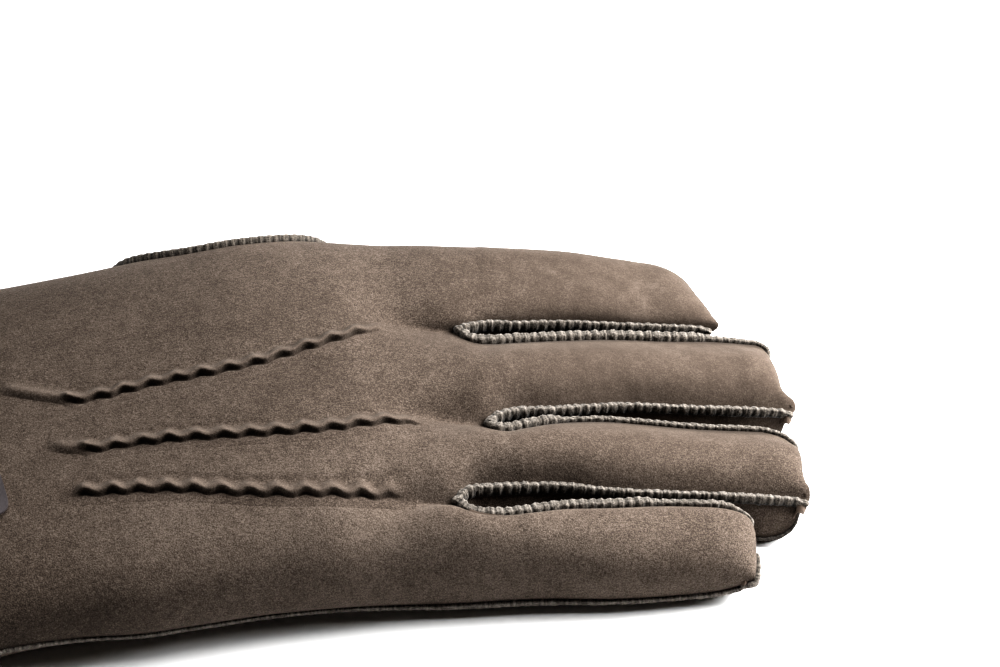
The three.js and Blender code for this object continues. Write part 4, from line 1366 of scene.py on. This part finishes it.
def tuck(name, row):
    look = tuckLook
    pit, dip, fold, face, highlight = (look[key] for key in ("pit", "dip", "fold", "face", "highlight"))
    first = row["from"] - row["lead"]
    last = row["to"] + look["tail"]
    count = round((last - first) / look["step"])
    hasFold = row["lead"] > fold["least"]
    marks = {}

    def place(i, j):
        x = lerp(first, last, i / count)
        d = look["reach"] * signedPower(2 * j / look["across"] - 1, look["closer"])
        swell = ramp(x - row["from"], *look["rises"]) * ramp(x - row["to"], *look["fades"])
        swell *= 1 + look["vary"]["by"] * wobble(x, row["to"], size=look["vary"]["size"])
        led = ramp(x, first, fold["rises"]) * (1 - ramp(x, row["from"], fold["ends"])) * hasFold
        uneven = look["uneven"]["by"] * wobble(x, row["to"], size=look["uneven"]["size"])
        wave = math.sin(2 * math.pi * (x - row["from"]) / look["pitch"] + uneven)
        away = d - look["sway"] * wave * swell
        soft = bell(away, look["farFlank"]) if away > 0 else math.exp(-((-away / look["nearFlank"]) ** 3))
        high = ramp(wave, *look["crest"])
        sunk = lerp(pit["least"], 1, high) * bell(away - pit["at"], lerp(*pit["wide"], high))
        lift = look["height"] * (1 + look["taller"] * wave) * soft - pit["deep"] * sunk
        lift = swell * (lift - dip["deep"] * bell(away - dip["at"], dip["wide"]))
        lift += led * (fold["high"] * bell(d, fold["wide"]) - fold["deep"] * bell(d - fold["at"], 1))
        rim = ramp(abs(d), look["reach"], -look["rim"])
        rim *= smooth(min(i, count - i) * look["step"] / look["endRim"])
        y = tuckTables[name].at("y", x) + d - look["overhang"] * soft * swell * rim
        # painted shade on the steep near face, in the pits and beside the fold, made uneven; and a painted
        # highlight on the crest and the fold
        shaded = ramp(soft, *face["steep"]) * ramp(away, *face["below"]) * (away < 0)
        dark = swell * (face["dark"] * shaded + pit["dark"] * sunk * high)
        dark += fold["dark"] * led * bell(d - fold["darkAt"], fold["darkWide"])
        dark = clamp(dark * (1 + look["shadeUneven"]["by"] * wobble(x, d, size=look["shadeUneven"]["size"])))
        highlighted = bell(away - highlight["at"], highlight["wide"]) * (highlight["share"] * swell + fold["highlight"] * led)
        marks[i, j] = dark, highlighted
        return x, y, backAt(x, y) + lift * rim + look["clear"] - look["sunkRim"] * (1 - rim)

    bm = bmesh.new()
    layer = bm.verts.layers.float.new("paintedShade")
    highlightLayer = bm.verts.layers.float.new("highlight")
    for index, vert in enumerate(gridOf(bm, count, look["across"], place)):
        vert[layer], vert[highlightLayer] = marks[index % (count + 1), index // (count + 1)]
    thickenSheet(bm, look["skin"])
    finish(bm, name, [suede, inside], [name], sharp=180)


for name, row in tucks.items():
    tuck(name, row)
print("tucks done")


# The tab at the wrist is a flat patch of smooth dark hide.
hideLook = {
    "dark": (0.030, 0.025, 0.026),
    "light": (0.060, 0.050, 0.052),
    "clouds": {"scale": 160, "detail": 3, "roughness": 0.5},
    "pores": 1500,
    "rough": (0.42, 0.2),  # at the least, and how much more in the clouds
    "bump": {"distance": 0.00008, "strength": 0.5},
}


def hideMaterial():
    shader = Shader("darkHide", Roughness=0.45, Specular_IOR_Level=0.4)
    inputs = {"Vector": shader.place, "Scale": hideLook["pores"]}
    pores = shader.node("ShaderNodeTexVoronoi", {"feature": "F1"}, inputs)
    cloudy = shader.noise(**hideLook["clouds"])
    shader.feed("Base Color", shader.mix(cloudy, hideLook["dark"], hideLook["light"]))
    least, more = hideLook["rough"]
    shader.feed("Roughness", least + cloudy * more)
    shader.feed("Normal", shader.bump(pores, **hideLook["bump"]))
    return shader.material


wristTab = {
    "x": -138.4, "y": -18, "turn": 14, "length": 34, "width": 24, "thick": 1.5, "corner": 8, "cells": 48,
}


def tab():
    shape = wristTab
    turn = math.radians(shape["turn"])
    bm = bmesh.new()

    def place(i, j):
        u = 2 * i / shape["cells"] - 1
        v = 2 * j / shape["cells"] - 1
        power = shape["corner"]
        corner = (abs(u) ** power + abs(v) ** power) ** (1 / power) / max(abs(u), abs(v), 1e-9)
        u *= shape["length"] / 2 / max(corner, 1)
        v *= shape["width"] / 2 / max(corner, 1)
        x = shape["x"] + u * math.cos(turn) - v * math.sin(turn)
        y = shape["y"] + u * math.sin(turn) + v * math.cos(turn)
        return x, y, backAt(x, y) + shape["thick"] + 0.1

    gridOf(bm, shape["cells"], shape["cells"], place)
    thickenSheet(bm, shape["thick"])
    finish(bm, "wrist_tab", [hideMaterial(), inside], ["wrist_tab"])


tab()
print("wrist tab done")


paleFloor = {"half": 4, "below": 0.0002, "colour": (0.9, 0.9, 0.9, 1)}


def stageFloor():
    bm = bmesh.new()
    bmesh.ops.create_grid(bm, x_segments=1, y_segments=1, size=paleFloor["half"])
    bmesh.ops.translate(bm, verts=bm.verts, vec=(0, 0, -paleFloor["below"]))
    mesh = bpy.data.meshes.new("floor")
    bm.to_mesh(mesh)
    bm.free()
    shader = Shader("paleFloor", Roughness=0.7, Specular_IOR_Level=0.2)
    shader.surface.inputs["Base Color"].default_value = paleFloor["colour"]
    mesh.materials.append(shader.material)
    floor = addObject("floor", mesh)


studio = {
    "key": {"place": (0.32, 0.07, 0.27), "aim": (0.06, 0, 0.02), "size": 0.22, "power": 2.2},
    "low": {"place": (0.45, 0.03, 0.21), "aim": (0.06, 0, 0.02), "size": 0.3, "power": 4.6},
    "top": {"place": (0.10, 0.20, 0.98), "aim": (0.04, 0.02, 0.02), "size": 0.6, "power": 8.6},
}
surroundings = {"colour": (1, 0.93, 0.86, 1), "strength": 0.015}


def turnTo(thing, aim):
    thing.rotation_euler = (aim - thing.location).to_track_quat("-Z", "Y").to_euler()


def lights():
    for name, row in studio.items():
        light = bpy.data.lights.new(name, "AREA")
        light.shape = "DISK"
        light.size = row["size"]
        light.energy = row["power"]
        lamp = addObject(name, light)
        lamp.location = row["place"]
        turnTo(lamp, Vector(row["aim"]))
    world = bpy.data.worlds.new("studio")
    world.use_nodes = True
    background = world.node_tree.nodes["Background"].inputs
    background["Color"].default_value = surroundings["colour"]
    background["Strength"].default_value = surroundings["strength"]
    bpy.context.scene.world = world
    bpy.context.scene.view_settings.view_transform = "Standard"
    bpy.context.scene.view_settings.look = "High Contrast"


view = {"camera": (-50.12, -401.14, 419.43), "target": (7.73, 38.28, 15), "lens": 79.55, "sensor": 36}


def camera():
    lens = bpy.data.cameras.new("camera")
    lens.lens = view["lens"]
    lens.sensor_width = view["sensor"]
    eye = addObject("camera", lens)
    eye.location = toScene(view["camera"])
    turnTo(eye, toScene(view["target"]))
    bpy.context.scene.camera = eye


stageFloor()
lights()
camera()
print("stage done")
